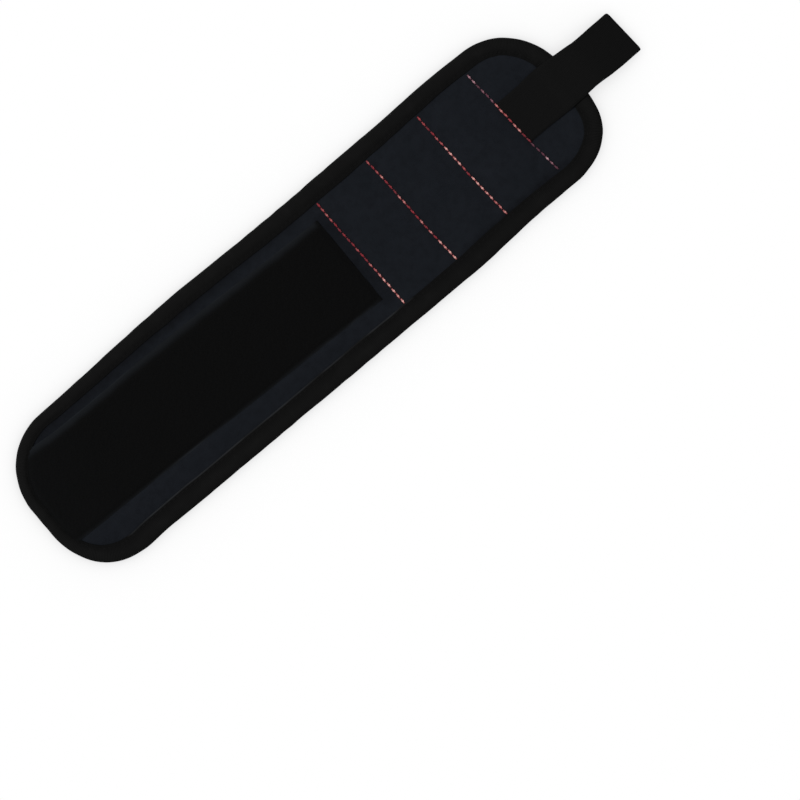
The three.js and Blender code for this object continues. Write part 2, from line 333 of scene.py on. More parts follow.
# How far the sewn outline strays outward from the drawn one, at places round it
STRAY = round_curve([
    (0, -2.1), (25, -1.5), (45, -0.6), (62, 0), (95, 0.4), (130, -0.4), (150, -0.8), (195, -0.6), (220, -0.4),
    (248, 0), (264, 0.3), (277, -0.5), (300, -1.1), (321, -2.5), (330, -2.7), (352, -1.5), (366, -0.8),
    (380, 1.8), (396, 0.3), (412, -1.1), (436, -1.2), (475, 0.75), (555, 0.25), (655, -0.5), (690, -0.9),
    (712, 0.4), (723, 1.1), (742, -0.6), (770, -0.9), (800, -1.2),
], 6)
# What shows of the binding on the face: less where it turns round the ends
FRONT_TAPE = round_curve([
    (0, 7.2), (47, 8.4), (79, 9.1), (118, 9.6), (150, 10.1), (172, 10.3), (212, 10.2), (252, 9.6), (278, 9.3),
    (310, 9.3), (321, 9.2), (330, 9.9), (366, 9.9), (380, 9.7), (419, 9.5), (436, 10.3), (468, 11.2),
    (503, 10.6), (552, 11.2), (600, 10.9), (662, 11.3), (698, 11.1), (725, 8.6), (754, 6.7), (790, 6.5),
], 5)
# What shows of it on the back
BACK_TAPE = round_curve([
    (0, 10.2), (50, 9.5), (282, 9.5), (312, 9.3), (338, 10.5), (352, 10.5), (378, 9.3), (420, 9.5),
    (660, 9.5), (700, 10.2), (730, 11.0), (790, 11.0),
], 5)
# How strong a painted highlight is along the edge of it on the face
EDGE_HIGHLIGHT = round_curve([
    (0, 0), (515, 0), (525, 0.7), (575, 0.5), (612, 0.9), (690, 0.9), (712, 0), (820, 0),
], 4)
TAPE = 11.0  # the width that the binding's section is drawn for
# How far in from the binding the net on the back is pressed together
NET_SHUT = round_curve([(0, 11), (270, 11), (440, 7), (690, 7), (720, 5), (805, 5)], 6)
# 1 where the binding turns a corner
TURNING = round_curve([(0, 0), (272, 0), (292, 1), (404, 1), (424, 0), (686, 0), (706, 1), (820, 1)], 5)
EASE = (28, 9)  # how far inside the outline its stray begins to tell, and is whole


def eased(points):
    """Points moved with the sewn outline; the middle of the band stays where it is drawn."""
    points = np.array(points, float)
    x, y = points[..., 0], points[..., 1]
    place, out = around(x, y)
    points[..., :2] += out * (STRAY(place) * ramp(*EASE, inset(x, y)))[..., None]
    return points


def front_inside(x, y):
    """How far a point of the face lies inside the edge of the binding."""
    return inset(x, y) - FRONT_TAPE(around(x, y)[0])


def back_inside(x, y):
    """The same on the back."""
    return inset(x, y) - BACK_TAPE(around(x, y)[0])


def columns(d, step):
    """Places along X for a sheet that ends d inside the outline: closer at the round ends."""
    r = END_RADIUS - d
    turn = np.linspace(0, math.pi / 2, int(r * math.pi / 2 / step) + 2)
    arc = ARC_X + r * np.sin(turn)
    straight = np.linspace(-ARC_X, ARC_X, int(2 * ARC_X / step))
    xs = np.concatenate([-arc, straight, arc]) + CENTRE_X
    cuts = np.array(ZONE_X[1:-1])
    xs = xs[np.min(np.abs(xs[:, None] - cuts[None]), axis=1) > 0.3 * step]
    return np.unique(np.round(np.concatenate([xs, cuts]), 4))


def zone_columns(xs, zone):
    """The numbers of the columns in one zone, with both its ends."""
    return np.flatnonzero((xs > ZONE_X[zone] - 1e-3) & (xs < ZONE_X[zone + 1] + 1e-3))


# Meshes

def placed(name, data):
    """A new object in the scene."""
    obj = bpy.data.objects.new(name, data)
    bpy.context.scene.collection.objects.link(obj)
    return obj


def piece(name, shape, material, slot, tone=None, normals=None, ease=True):
    """A mesh piece. shape is (points, faces, uv) in millimetres, with uv along and across the cloth.
    tone is a value for each point that its material reads, and normals are for the first points."""
    points, faces, uv = shape
    mesh = bpy.data.meshes.new(name)
    mesh.from_pydata(((eased(points) if ease else points) * MM).tolist(), [], faces)
    mesh.polygons.foreach_set("use_smooth", np.ones(len(mesh.polygons), bool))
    index = np.empty(len(mesh.loops), np.int32)
    mesh.loops.foreach_get("vertex_index", index)
    layer = mesh.uv_layers.new(name="UVMap")
    layer.data.foreach_set("uv", (np.asarray(uv)[index] * MM).astype(np.float32).ravel())
    if tone is not None:
        attribute = mesh.attributes.new("tone", "FLOAT", "POINT")
        full = np.zeros(len(points), np.float32)
        full[:tone.size] = tone.ravel()
        attribute.data.foreach_set("value", full)
    if normals is not None:
        full = np.zeros((len(points), 3))
        full[:normals.size // 3] = normals.reshape(-1, 3)
        shade(mesh, index, full)
    mesh.materials.append(material)
    obj = placed(name, mesh)
    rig.slot(obj, slot)
    return obj


def shade(mesh, index, normals):
    """Sets the normals of the faces whose corners all have one given, so that two pieces that meet
    at a cut are shaded as one. index is the point of each face corner. Caps and walls stay plain."""
    corners = np.empty(len(mesh.polygons), np.int32)
    mesh.polygons.foreach_get("loop_total", corners)
    first = np.cumsum(corners) - corners
    given = np.linalg.norm(normals, axis=1) > 0.5
    whole = np.logical_and.reduceat(given[index], first) & (corners == 4)
    mesh.polygons.foreach_set("use_smooth", corners == 4)
    mesh.normals_split_custom_set((normals[index] * np.repeat(whole, corners)[:, None]).tolist())


FLEX_REACH = 9.5  # how far to each side of a hinge the cloth bends


def bend(obj, zone):
    """A soft piece bends with the hinge in the middle of its zone."""
    ends = [((FLEX[zone] + off) * MM, 0, 0) for off in (-FLEX_REACH, FLEX_REACH)]
    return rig.blend(obj, BODIES[zone], BODIES[zone + 1], start=ends[0], end=ends[1])


def grid_normals(grid, closed=False):
    """Directions out of a grid of points, from its neighbours on all sides."""
    along = np.gradient(grid, axis=0)
    if closed:
        across = np.roll(grid, -1, 1) - np.roll(grid, 1, 1)
    else:
        across = np.gradient(grid, axis=1)
    out = np.cross(along, across)
    return out / np.maximum(np.linalg.norm(out, axis=-1, keepdims=True), 1e-9)


def quads(nc, nr, closed=False):
    """The faces of nc columns of nr points each, whose last point may join on to the first."""
    i, j = np.meshgrid(np.arange(nc - 1), np.arange(nr if closed else nr - 1), indexing="ij")
    k = (j + 1) % nr
    return np.stack([i * nr + j, (i + 1) * nr + j, (i + 1) * nr + k, i * nr + k], -1).reshape(-1, 4)


def crowned(top, base, flip=False):
    """A closed body: a shaped grid, walls from its edges to the height base, and a plain far side."""
    nc, nr = top.shape[:2]
    grid = np.arange(nc * nr).reshape(nc, nr)
    low = np.concatenate([top[:, 0], top[:, -1]])
    low[:, 2] = base
    a, b = nc * nr + np.arange(nc), nc * nr + nc + np.arange(nc)
    t0, t1 = grid[:, 0], grid[:, -1]
    faces = np.concatenate([
        quads(nc, nr),
        np.stack([t0[:-1], a[:-1], a[1:], t0[1:]], -1),
        np.stack([t1[1:], b[1:], b[:-1], t1[:-1]], -1),
        np.stack([a[:-1], b[:-1], b[1:], a[1:]], -1),
    ]).tolist()
    points = np.concatenate([top.reshape(-1, 3), low])
    faces += [[*grid[0], b[0], a[0]], [*grid[-1][::-1], a[-1], b[-1]]]
    if flip:
        faces = [f[::-1] for f in faces]
    return points, faces, points[:, :2]


def swept(rings, uv):
    """A closed body from rings of points, capped at both ends. rings is (count, points, 3), each
    ring in the order that turns left on the way along."""
    nc, nr = rings.shape[:2]
    faces = quads(nc, nr, closed=True).tolist()
    faces += [list(range(nr)), list(range(nc * nr - 1, nc * nr - nr - 1, -1))]
    return rings.reshape(-1, 3), faces, uv.reshape(-1, 2)


def joined(shapes):
    """Several (points, faces, uv) shapes as one."""
    points, faces, uv, start = [], [], [], 0
    for p, f, t in shapes:
        points.append(p)
        uv.append(t)
        faces += [[v + start for v in face] for face in f]
        start += len(p)
    return np.concatenate(points), faces, np.concatenate(uv)


# A stitch's uv tells how far its surface faces up, which puts the painted highlight on top of the thread
ROUND = 0.3  # how much of a stitch's uv says which way its surface faces


def stitches(at, along, up, length, radius, sink, sides, steps, plies=1, turns=0.0):
    """Threads that rise over the cloth between two needle holes, one for each place in at.
    Their uv is the place along the stitch, from -1 to 1, and the number of the stitch, with ROUND
    times how far the thread's surface there faces up added to it."""
    n = len(at)
    across = np.cross(up, along)
    t = np.linspace(-1, 1, steps)
    girth = radius * np.sqrt(np.clip(1 - np.abs(t) ** 5, 0.05, 1))
    lift = -sink * np.abs(t) ** 2.6
    spine = at[:, None] + along[:, None] * (t * length / 2)[:, None]
    spine = spine + up[:, None] * lift[:, None]
    angle = np.linspace(0, 2 * math.pi, sides, endpoint=False)
    shapes = []
    for ply in range(plies):
        size, off = (girth, 0 * girth) if plies == 1 else (0.66 * girth, 0.5 * girth)
        turn = 2 * math.pi * (ply / plies + turns * t / 2)
        line = spine + across[:, None] * (off * np.cos(turn))[:, None]
        line = line + up[:, None] * (off * np.sin(turn))[:, None]
        ring = across[:, None, None] * np.cos(angle)[:, None]
        ring = ring + up[:, None, None] * np.sin(angle)[:, None]
        points = line[:, :, None] + ring * size[:, None, None]
        u = np.broadcast_to(t[:, None], (n, steps, sides))
        v = np.broadcast_to(np.arange(n)[:, None, None] + ROUND * np.sin(angle), (n, steps, sides))
        uv = np.stack([u, v], -1)
        shapes += [swept(points[k][:, ::-1], uv[k][:, ::-1]) for k in range(n)]
    return joined(shapes)


# Materials

def fill(tree, node, values):
    """Sets a node's inputs, by number or name: a socket is linked, and a colour is made opaque."""
    for key, value in values.items():
        if isinstance(value, bpy.types.NodeSocket):
            tree.links.new(value, node.inputs[key])
        else:
            node.inputs[key].default_value = (*value, 1) if isinstance(value, tuple) else value


def new_node(tree, kind, values=None, **settings):
    """A new shader node with its settings and inputs."""
    node = tree.nodes.new("ShaderNode" + kind)
    for key, value in settings.items():
        setattr(node, key, value)
    fill(tree, node, values or {})
    return node


class Paint:
    """A material and a short way to write its nodes. Textures use the pieces' own flat uv."""

    def __init__(self, name, roughness, specular, sheen=0.0):
        self.material = bpy.data.materials.new(name)
        self.material.use_nodes = True
        self.tree = self.material.node_tree
        self.shader = self.tree.nodes["Principled BSDF"]
        fill(self.tree, self.shader, {"Roughness": roughness, "Specular IOR Level": specular})
        if sheen:
            fill(self.tree, self.shader, {"Sheen Weight": sheen, "Sheen Roughness": 0.6})
        self.uv = new_node(self.tree, "UVMap", uv_map="UVMap").outputs[0]
        split = new_node(self.tree, "SeparateXYZ", {0: self.uv})
        self.u, self.v = split.outputs[0], split.outputs[1]

    def math(self, operation, a, b=0.0, c=0.0, clamp=False):
        values = {0: a, 1: b, 2: c}
        return new_node(self.tree, "Math", values, operation=operation, use_clamp=clamp).outputs[0]

    def times(self, a, b, clamp=False):
        return self.math("MULTIPLY", a, b, clamp=clamp)

    def add(self, a, b, share=1.0):
        return self.math("MULTIPLY_ADD", b, share, a)

    def mix(self, share, a, b):
        return new_node(self.tree, "Mix", {0: share, 2: a, 3: b}, data_type="FLOAT").outputs[0]

    def blend(self, share, a, b):
        """A colour between a and b."""
        return new_node(self.tree, "Mix", {0: share, 6: a, 7: b}, data_type="RGBA").outputs[2]

    def grain(self, per_mm, detail=3.0, roughness=0.55):
        """Noise from 0 to 1 with about that many features to the millimetre."""
        values = {"Vector": self.uv, "Scale": per_mm / MM, "Detail": detail, "Roughness": roughness}
        return new_node(self.tree, "TexNoise", values).outputs[0]

    def wave(self, along, pitch):
        """A sine of that pitch in millimetres, along u or v."""
        return self.math("SINE", self.times(along, math.pi / (pitch * MM)))

    def ribs(self, along, pitch):
        return self.math("ABSOLUTE", self.wave(along, pitch))

    def twist(self, rate):
        """The turns of a spun thread along a stitch."""
        return self.math("ABSOLUTE", self.math("SINE", self.times(self.u, rate / MM)))

    def tone(self):
        return new_node(self.tree, "Attribute", attribute_name="tone").outputs["Fac"]

    def weave(self, pitch):
        """Plain weave: height from 0 to 1, with warp and weft on top by turns."""
        a, b = self.wave(self.u, pitch), self.wave(self.v, pitch)
        over = self.math("MULTIPLY_ADD", self.times(a, b), 3.0, 0.5, clamp=True)
        return self.mix(over, self.math("ABSOLUTE", b), self.math("ABSOLUTE", a))

    def finish(self, colour, height, depth, strength, roughness=None):
        """Sets the colour, and a bump whose height runs over that depth in millimetres."""
        bump = new_node(self.tree, "Bump", {"Strength": strength, "Distance": depth * MM, "Height": height})
        fill(self.tree, self.shader, {"Base Color": colour, "Normal": bump.outputs[0]})
        if roughness is not None:
            fill(self.tree, self.shader, {"Roughness": roughness})
        return self.material


def navy_cloth():
    p = Paint("navy_cloth", 0.8, 0.035)
    weave, fibre, cloud = p.weave(0.62), p.grain(6, 2), p.grain(0.05, 3)
    lit = p.add(p.times(weave, 0.5), fibre, 0.5)
    colour = p.blend(lit, (0.0053, 0.0062, 0.0083), (0.0176, 0.0205, 0.0265))
    colour = p.blend(p.times(cloud, 0.6), colour, (0.0058, 0.0072, 0.0092))
    blotch = p.times(p.math("SUBTRACT", p.grain(0.22, 3, 0.6), 0.42, clamp=True), 1.2)
    # The tone paints shade on the face along the margins, by the loop patch and by the binding; the blotches are
    # random tone
    colour = p.blend(p.math("ADD", p.tone(), blotch, clamp=True), colour, (0.0050, 0.0056, 0.0072))
    return p.finish(colour, p.add(weave, fibre, 0.4), 0.16, 0.7, p.mix(fibre, 0.7, 0.9))


def binding_tape():
    p = Paint("binding_tape", 0.85, 0.02)
    rib, line = p.ribs(p.u, 0.85), p.ribs(p.v, 0.42)
    fibre, worn = p.grain(5, 3), p.grain(0.11, 4, 0.65)
    height = p.add(p.add(rib, line, 0.35), fibre, 0.5)
    colour = p.blend(p.times(rib, fibre), (0.0038, 0.0038, 0.0038), (0.0132, 0.0132, 0.0131))
    lint = p.times(p.math("POWER", worn, 4.0), 1.6, clamp=True)
    colour = p.blend(lint, colour, (0.0125, 0.0125, 0.0124))
    tone = p.tone()
    # A negative tone paints shade towards the tape's sewn edge, and a positive one paints a highlight along its edge
    colour = p.blend(p.times(tone, -1.0, clamp=True), colour, (0.0030, 0.0030, 0.0030))
    colour = p.blend(p.math("MAXIMUM", tone, 0.0), colour, (0.0205, 0.0220, 0.0240))
    return p.finish(colour, height, 0.14, 0.6, p.mix(fibre, 0.75, 0.95))


def loop_pile():
    p = Paint("loop_pile", 0.95, 0.012, 0.01)
    tuft, curl, cloud = p.grain(1.4, 4, 0.7), p.grain(4.5, 3, 0.7), p.grain(0.08, 3)
    colour = p.blend(p.times(tuft, curl), (0.0010, 0.0010, 0.0010), (0.0134, 0.0136, 0.0137))
    colour = p.blend(p.times(cloud, 0.4), colour, (0.0042, 0.0043, 0.0044))
    # The tone makes the selvedges paler, partly as painted sheen, and paints a highlight along their edges
    colour = p.blend(p.tone(), colour, (0.0180, 0.0208, 0.0246))
    return p.finish(colour, p.add(tuft, curl, 0.7), 0.25, 0.6)


def webbing():
    p = Paint("webbing", 0.82, 0.02)
    # The same near-black also paints shade along the back ply's -Y edge
    seal_and_shade_colour = (0.0012, 0.0012, 0.0012)  # a cut end, melted so that it can't fray
    zig = p.math("PINGPONG", p.v, 1.9 * MM)
    twill = p.ribs(p.math("ADD", p.u, zig), 0.75)
    line, fibre = p.ribs(p.v, 0.95), p.grain(5, 3)
    height = p.add(p.times(twill, line), fibre, 0.4)
    colour = p.blend(p.times(twill, fibre), (0.0037, 0.0037, 0.0037), (0.0140, 0.0140, 0.0140))
    colour = p.blend(p.tone(), colour, seal_and_shade_colour)
    return p.finish(colour, height, 0.2, 0.7, p.mix(fibre, 0.7, 0.92))


def spacer_base():
    p = Paint("spacer_base", 0.95, 0.01)
    knit = p.math("ABSOLUTE", p.times(p.wave(p.u, 0.7), p.wave(p.v, 0.9)))
    fibre = p.grain(3, 3)
    # Painted shade: the pad is darker where the net stands open over it, and lighter where it is pressed flat
    deep_shade = p.blend(p.times(knit, fibre), (0.0001, 0.0001, 0.0001), (0.0010, 0.0010, 0.0009))
    flat = p.blend(p.times(knit, fibre), (0.0060, 0.0060, 0.0059), (0.0128, 0.0128, 0.0126))
    return p.finish(p.blend(p.tone(), flat, deep_shade), p.add(knit, fibre), 0.14, 0.5)


def mesh_net():
    p = Paint("mesh_net", 0.8, 0.03)
    knit, fibre = p.ribs(p.math("ADD", p.u, p.v), 0.55), p.grain(3, 3)
    bright = p.blend(p.times(knit, fibre), (0.019, 0.019, 0.0186), (0.068, 0.068, 0.0665))
    tone = p.tone()
    # The tone paints shade down into the holes; below zero it is painted shade on the strands underneath
    colour = p.blend(tone, (0.0068, 0.0068, 0.0066), bright)
    under = p.times(tone, -1.0, clamp=True)
    colour = p.blend(under, colour, (0.0008, 0.0008, 0.0008))
    return p.finish(colour, p.add(knit, fibre), 0.12, 0.6)


def hook_tape():
    p = Paint("hook_tape", 0.75, 0.03)
    weave, fibre = p.weave(0.8), p.grain(4, 3)
    cover = p.times(weave, fibre)
    plain = p.blend(cover, (0.0082, 0.0082, 0.0080), (0.0225, 0.0225, 0.0220))
    pale = p.blend(cover, (0.020, 0.020, 0.0195), (0.062, 0.062, 0.0605))
    return p.finish(p.blend(p.tone(), plain, pale), p.add(weave, fibre), 0.14, 0.6)


def hook_plastic():
    p = Paint("hook_plastic", 0.6, 0.06)
    colour = p.blend(p.grain(0.5), (0.009, 0.009, 0.0088), (0.017, 0.017, 0.0167))
    return p.finish(colour, p.grain(6), 0.03, 0.4)


def black_thread():
    p = Paint("black_thread", 0.6, 0.03)
    spun = p.twist(9.0)
    return p.finish(p.blend(spun, (0.0040, 0.0040, 0.0040), (0.0084, 0.0084, 0.0084)), spun, 0.05, 0.5)


def red_thread():
    """Spun thread: painted shade where it goes into the cloth, and a painted highlight on the crest of its brighter
    stitches. A tone from 0 to 1 is how much painted light a stitch gets, and from 1 to 2 the same for a faded one."""
    p = Paint("red_thread", 0.45, 0.35)
    tone = p.tone()
    faded, bright = p.math("GREATER_THAN", tone, 1.0), p.math("FRACT", tone)
    hole_shade = p.blend(faded, (0.050, 0.006, 0.013), (0.034, 0.009, 0.018))
    body = p.blend(faded, (0.58, 0.030, 0.042), (0.25, 0.064, 0.104))
    pale = p.blend(faded, (1.0, 0.60, 0.54), (0.95, 0.60, 0.65))
    spun = p.twist(7.0)
    crest = p.math("SUBTRACT", 1.0, p.math("ABSOLUTE", p.times(p.u, 1 / MM)), clamp=True)
    # Painted shade towards the needle holes, less on brighter stitches, and a painted highlight on the crest of the
    # brightest
    lit = p.times(p.math("POWER", crest, 0.6), p.math("MULTIPLY_ADD", bright, 0.8, 0.2))
    glint = p.math("MULTIPLY_ADD", bright, 2.2, -0.86, clamp=True)
    shine = p.times(p.math("POWER", crest, 1.1), glint, clamp=True)
    colour = p.blend(shine, p.blend(lit, hole_shade, body), pale)
    colour = p.blend(p.times(spun, 0.2), colour, p.blend(0.5, hole_shade, body))
    return p.finish(colour, spun, 0.1, 0.5)


def nickel():
    p = Paint("nickel", 0.3, 0.5)
    fill(p.tree, p.shader, {"Metallic": 1.0})
    marks = p.grain(1.2, 4, 0.6)
    colour = p.blend(marks, (0.44, 0.43, 0.4), (0.56, 0.55, 0.52))
    return p.finish(colour, marks, 0.02, 0.3, p.mix(marks, 0.22, 0.42))


NAVY, BINDING, PILE, WEBBING = navy_cloth(), binding_tape(), loop_pile(), webbing()
SPACER, NET, HOOK, HOOKS = spacer_base(), mesh_net(), hook_tape(), hook_plastic()
BLACK, RED, NICKEL = black_thread(), red_thread(), nickel()


# Heights of the padded body

FACE_LOW = 4.34  # the face where it is sewn down
QUILT_LOFT = 0.68  # how much of its swelling comes from the simulation
QUILT_STEP, QUILT_ROWS = 1.3, 57
QUILT_INSET = 7.0
QUILT_FRAMES = 24


def seam_line(row, y):
    """Where a row of stitches runs."""
    return SEAM_X[row] - y * math.tan(SKEW[row]) + np.interp(y, WANDER_Y, WANDER[row])


def off_seam(row, x, y):
    """Distance from a row of stitches, across it."""
    return (x - seam_line(row, y)) * math.cos(SKEW[row])


def quilted():
    """How the magnet sections swell between their seams: a cloth simulation of the sewn face, pressed
    out from behind and held at the stitches, the binding and the strap. Returns a height of x and y."""
    x0, x1 = LOOP_END - 2, RIGHT - QUILT_INSET - 0.3
    xs = np.linspace(x0, x1, int((x1 - x0) / QUILT_STEP))
    v = np.linspace(-1, 1, QUILT_ROWS)
    x = np.repeat(xs[:, None], len(v), 1)
    y = v[None] * half_width(x, QUILT_INSET)
    held = (front_inside(x, y) < -0.3) | (x < LOOP_END + 0.5)
    held |= (np.abs(y) < STRAP_HALF) & (off_seam(LAST_ROW, x, y) > 0)
    for row in range(ROWS):
        held |= np.abs(off_seam(row, x, y)) < 0.7
    nc, nr = x.shape
    mesh = bpy.data.meshes.new("quilt")
    points = np.stack([x, y, 0 * x], -1).reshape(-1, 3) * MM
    mesh.from_pydata(points.tolist(), [], quads(nc, nr).tolist())
    sheet = placed("quilt", mesh)
    scene = bpy.context.scene
    sheet.vertex_groups.new(name="held").add(np.flatnonzero(held.ravel()).tolist(), 1.0, "REPLACE")
    modifier = sheet.modifiers.new("cloth", "CLOTH")
    cloth = modifier.settings
    cloth.quality, cloth.mass = 4, 0.1
    cloth.tension_stiffness = cloth.compression_stiffness = 40
    cloth.shear_stiffness, cloth.bending_stiffness = 15, 0.15
    cloth.vertex_group_mass = "held"
    cloth.use_pressure, cloth.uniform_pressure_force = True, 3.0
    cloth.effector_weights.gravity = 0
    cloth.shrink_min = -0.004
    modifier.collision_settings.use_collision = False
    for number in range(1, QUILT_FRAMES + 1):
        scene.frame_set(number)
    done = sheet.evaluated_get(bpy.context.evaluated_depsgraph_get()).data
    z = np.empty(3 * nc * nr, np.float32)
    done.vertices.foreach_get("co", z)
    z = z.reshape(nc, nr, 3)[..., 2].astype(float)
    bpy.data.objects.remove(sheet)
    bpy.data.meshes.remove(mesh)
    scene.frame_set(1)
    for _ in range(2):
        z[1:-1, 1:-1] = (4 * z[1:-1, 1:-1] + z[2:, 1:-1] + z[:-2, 1:-1] + z[1:-1, 2:] + z[1:-1, :-2]) / 8
    z = np.clip(z * QUILT_LOFT / np.percentile(z, 97), -0.25, 1.5 * QUILT_LOFT)

    def height(px, py):
        a = np.clip((px - x0) / (x1 - x0) * (nc - 1), 0, nc - 1.001)
        b = np.clip((py / half_width(px, QUILT_INSET) + 1) / 2 * (nr - 1), 0, nr - 1.001)
        i, j = a.astype(int), b.astype(int)
        return between(lambda m, n: z[m, n], i, j, a - i, b - j)

    return height


QUILT = quilted()


def face_height(x, y):
    """The top of the face: soft between the seams and the binding, drawn in where it is sewn."""
    inside = np.maximum(front_inside(x, y), 0)
    off = np.array([off_seam(r, x, y) for r in range(ROWS)])
    loft = np.where(off[0] < 0, 0.45, np.where(off[LAST_ROW] > 0, 0.3, 0.4))
    near = np.min(np.abs(off), axis=0)
    soft = (1 - np.exp(-near / 4.2)) * (1 - np.exp(-inside / 4.0))
    z = FACE_LOW + loft * soft + QUILT(x, y)
    z += soft * (0.45 * noise(x, y, 24, 1) + 0.2 * noise(x, y, 11, 2))
    count = (ROW_TOP - y) / STITCH
    in_row = ramp(-0.2, 0.4, count) * ramp(STITCHES + 0.2, STITCHES - 0.4, count)
    z -= 0.12 * in_row * np.exp(-near / 1.6) * np.cos(2 * math.pi * count)
    z += 0.14 * np.exp(-inside / 3) * noise(x, y, 4.2, 4)
    for mx, my in MAGNETS:
        z += 0.1 * ramp(11.5, 8.5, np.hypot(x - mx, y - my))
    under = ramp(STRAP_HALF + 2, STRAP_HALF, np.abs(y)) * ramp(-1, 1, off[LAST_ROW])
    return z + under * (np.minimum(z, STRAP_LEVEL) - z)


def hook_start(y):
    """The edge of the hook patch that faces the net, sewn on a little askew."""
    return HOOK_X0 + 0.1 - 2.1 * (np.asarray(y, float) - HOOK_Y0) / (HOOK_Y1 - HOOK_Y0)


def hook_gap(x, y):
    """Distance from the hook patch, 0 on it."""
    dy = np.maximum(np.maximum(HOOK_Y0 - y, y - HOOK_Y1), 0)
    return np.hypot(np.maximum(hook_start(y) - x, 0), dy)


def back_fullness(x, y):
    """1 where the net stands open, less where the binding presses on it, 0 round the hook patch."""
    shut = NET_SHUT(around(x, y)[0])
    inside = back_inside(x, y) + 3 * noise(x, y, 9, 6)
    by_patch = ramp(HOOK_X0 + 3, HOOK_X0 - 15, x + 7 * noise(x, y, 9, 5))
    return (0.2 + 0.8 * ramp(0.1, 1, inside / shut)) * np.minimum(by_patch, ramp(0.2, 3, hook_gap(x, y)))


def back_height(x, y):
    """The wrist side: full in the middle, drawn up under the binding and round the hook patch."""
    drawn = np.maximum((1 - ramp(-0.5, 8.5, back_inside(x, y))) ** 1.3, 1 - ramp(0, 10, hook_gap(x, y)))
    return 0.05 + 0.48 * drawn + (1 - drawn) * (0.12 + 0.24 * noise(x, y, 16, 5))


# Face cloth and spacer pad

FACE_INSET, FACE_STEP, FACE_ROWS = 5.6, 0.9, 87
FACE_UNDER = 3.55  # the height of the face's far side
PAD_INSET, PAD_STEP, PAD_ROWS = 7.8, 1.2, 61
PAD_TOP = 3.5
PAD_UNDER = 0.97  # the pad's underside where it lies in the binding


def sheet_grid(d, step, rows):
    xs = columns(d, step)
    x = np.repeat(xs[:, None], rows, 1)
    y = np.linspace(-1, 1, rows)[None] * half_width(x, d)
    return xs, x, y


def zone_sheets(name, xs, grid, base, material, slot, tone, zones=ZONES, flip=False):
    """A crowned sheet in one piece for each zone. Gives each zone with its columns and its piece."""
    out = -grid_normals(grid) if flip else grid_normals(grid)
    for zone in range(zones):
        cols = zone_columns(xs, zone)
        shape = crowned(grid[cols], base, flip)
        yield zone, cols, piece(f"{name}_{zone + 1}", shape, material, slot, tone[cols], out[cols])


def make_pad():
    xs, x, y = sheet_grid(PAD_INSET, PAD_STEP, PAD_ROWS)
    full = back_fullness(x, y)
    z = back_height(x, y) + 0.06 + 0.75 * full
    z += ramp(0.2, -0.6, back_inside(x, y)) * np.maximum(PAD_UNDER - z, 0)
    low = np.stack([x, y, z], -1)
    # The net's fullness paints shade on the pad beneath it
    for zone, _, obj in zone_sheets("spacer_pad", xs, low, PAD_TOP, SPACER, "spacer_mesh", full, flip=True):
        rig.replaces(obj, f"lining_{zone + 1}", *(["lining_10"] if zone == ZONES - 1 else []))
        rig.padded(obj, fill=0.55)
        bend(obj, zone)


def face_painted_shade(x, y):
    """How much painted shade darkens the face, from 0 to 1: along the margins, by the loop patch and by the binding.
    """
    beside_loops = ramp(LOOP_END + 5, LOOP_END - 15, x)
    margin = ramp(29, 36.5, y) * beside_loops
    margin = margin * (0.6 + 0.3 * bell(x - LOOP_END + 79, 32))
    by_patch = 0.4 * ramp(LOOP_END + 9, LOOP_END + 2, x) * ramp(LOOP_END - 3, LOOP_END, x)
    by_patch = by_patch * ramp(31, 26, np.abs(y))
    by_tape = 0.5 * ramp(-30, -34.5, y) * ramp(SEAM_X[1], SEAM_X[1] + 18, x) * ramp(RIGHT - 20, RIGHT - 40, x)
    low_margin = 0.14 * ramp(-24, -28, y) * beside_loops
    return np.clip(margin + low_margin + by_patch + by_tape, 0, 1)


def make_face():
    xs, x, y = sheet_grid(FACE_INSET, FACE_STEP, FACE_ROWS)
    top = np.stack([x, y, face_height(x, y)], -1)
    # Painted shade for the face cloth's tone
    painted_shade = face_painted_shade(x, y)
    for zone, cols, obj in zone_sheets("face_cloth", xs, top, FACE_UNDER, NAVY, "navy_face", painted_shade):
        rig.replaces(obj, f"face_{zone + 1}", *(["face_10"] if zone == ZONES - 1 else []))
        width, length = 2 * y[cols].max() * MM, np.ptp(xs[cols]) * MM
        cut = np.trapz(2 * y[cols].max(1), xs[cols]) * MM**2
        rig.sheet(obj, flat=(width, length), held="stretched", rests_on=[f"spacer_pad_{zone + 1}"], area=cut)
        bend(obj, zone)


# Net on the wrist side

NET_PITCH = 3.4  # between strands that run side by side
NET_ANGLE = math.radians(35)  # of the strands to the band
NET_OPEN = 0.87  # share of a mesh that its hole takes up, each way
NET_INSET = 8.2  # the middles of its meshes lie at least so far inside the outline
NET_UNDER = 1.2  # and go so far under the binding
NET_LEAST = 0.02  # and stand at least so far open
RIM_STEPS = 4  # points along each side of a mesh
# From the middle of a strand to its hole: share of the way, how far down, and how pale, which paints shade down into
# the hole
NET_RINGS = ((0.0, 0.0, 1.0), (0.5, 0.04, 0.9), (1.0, 0.22, 0.5), (1.05, 0.8, 0.0))


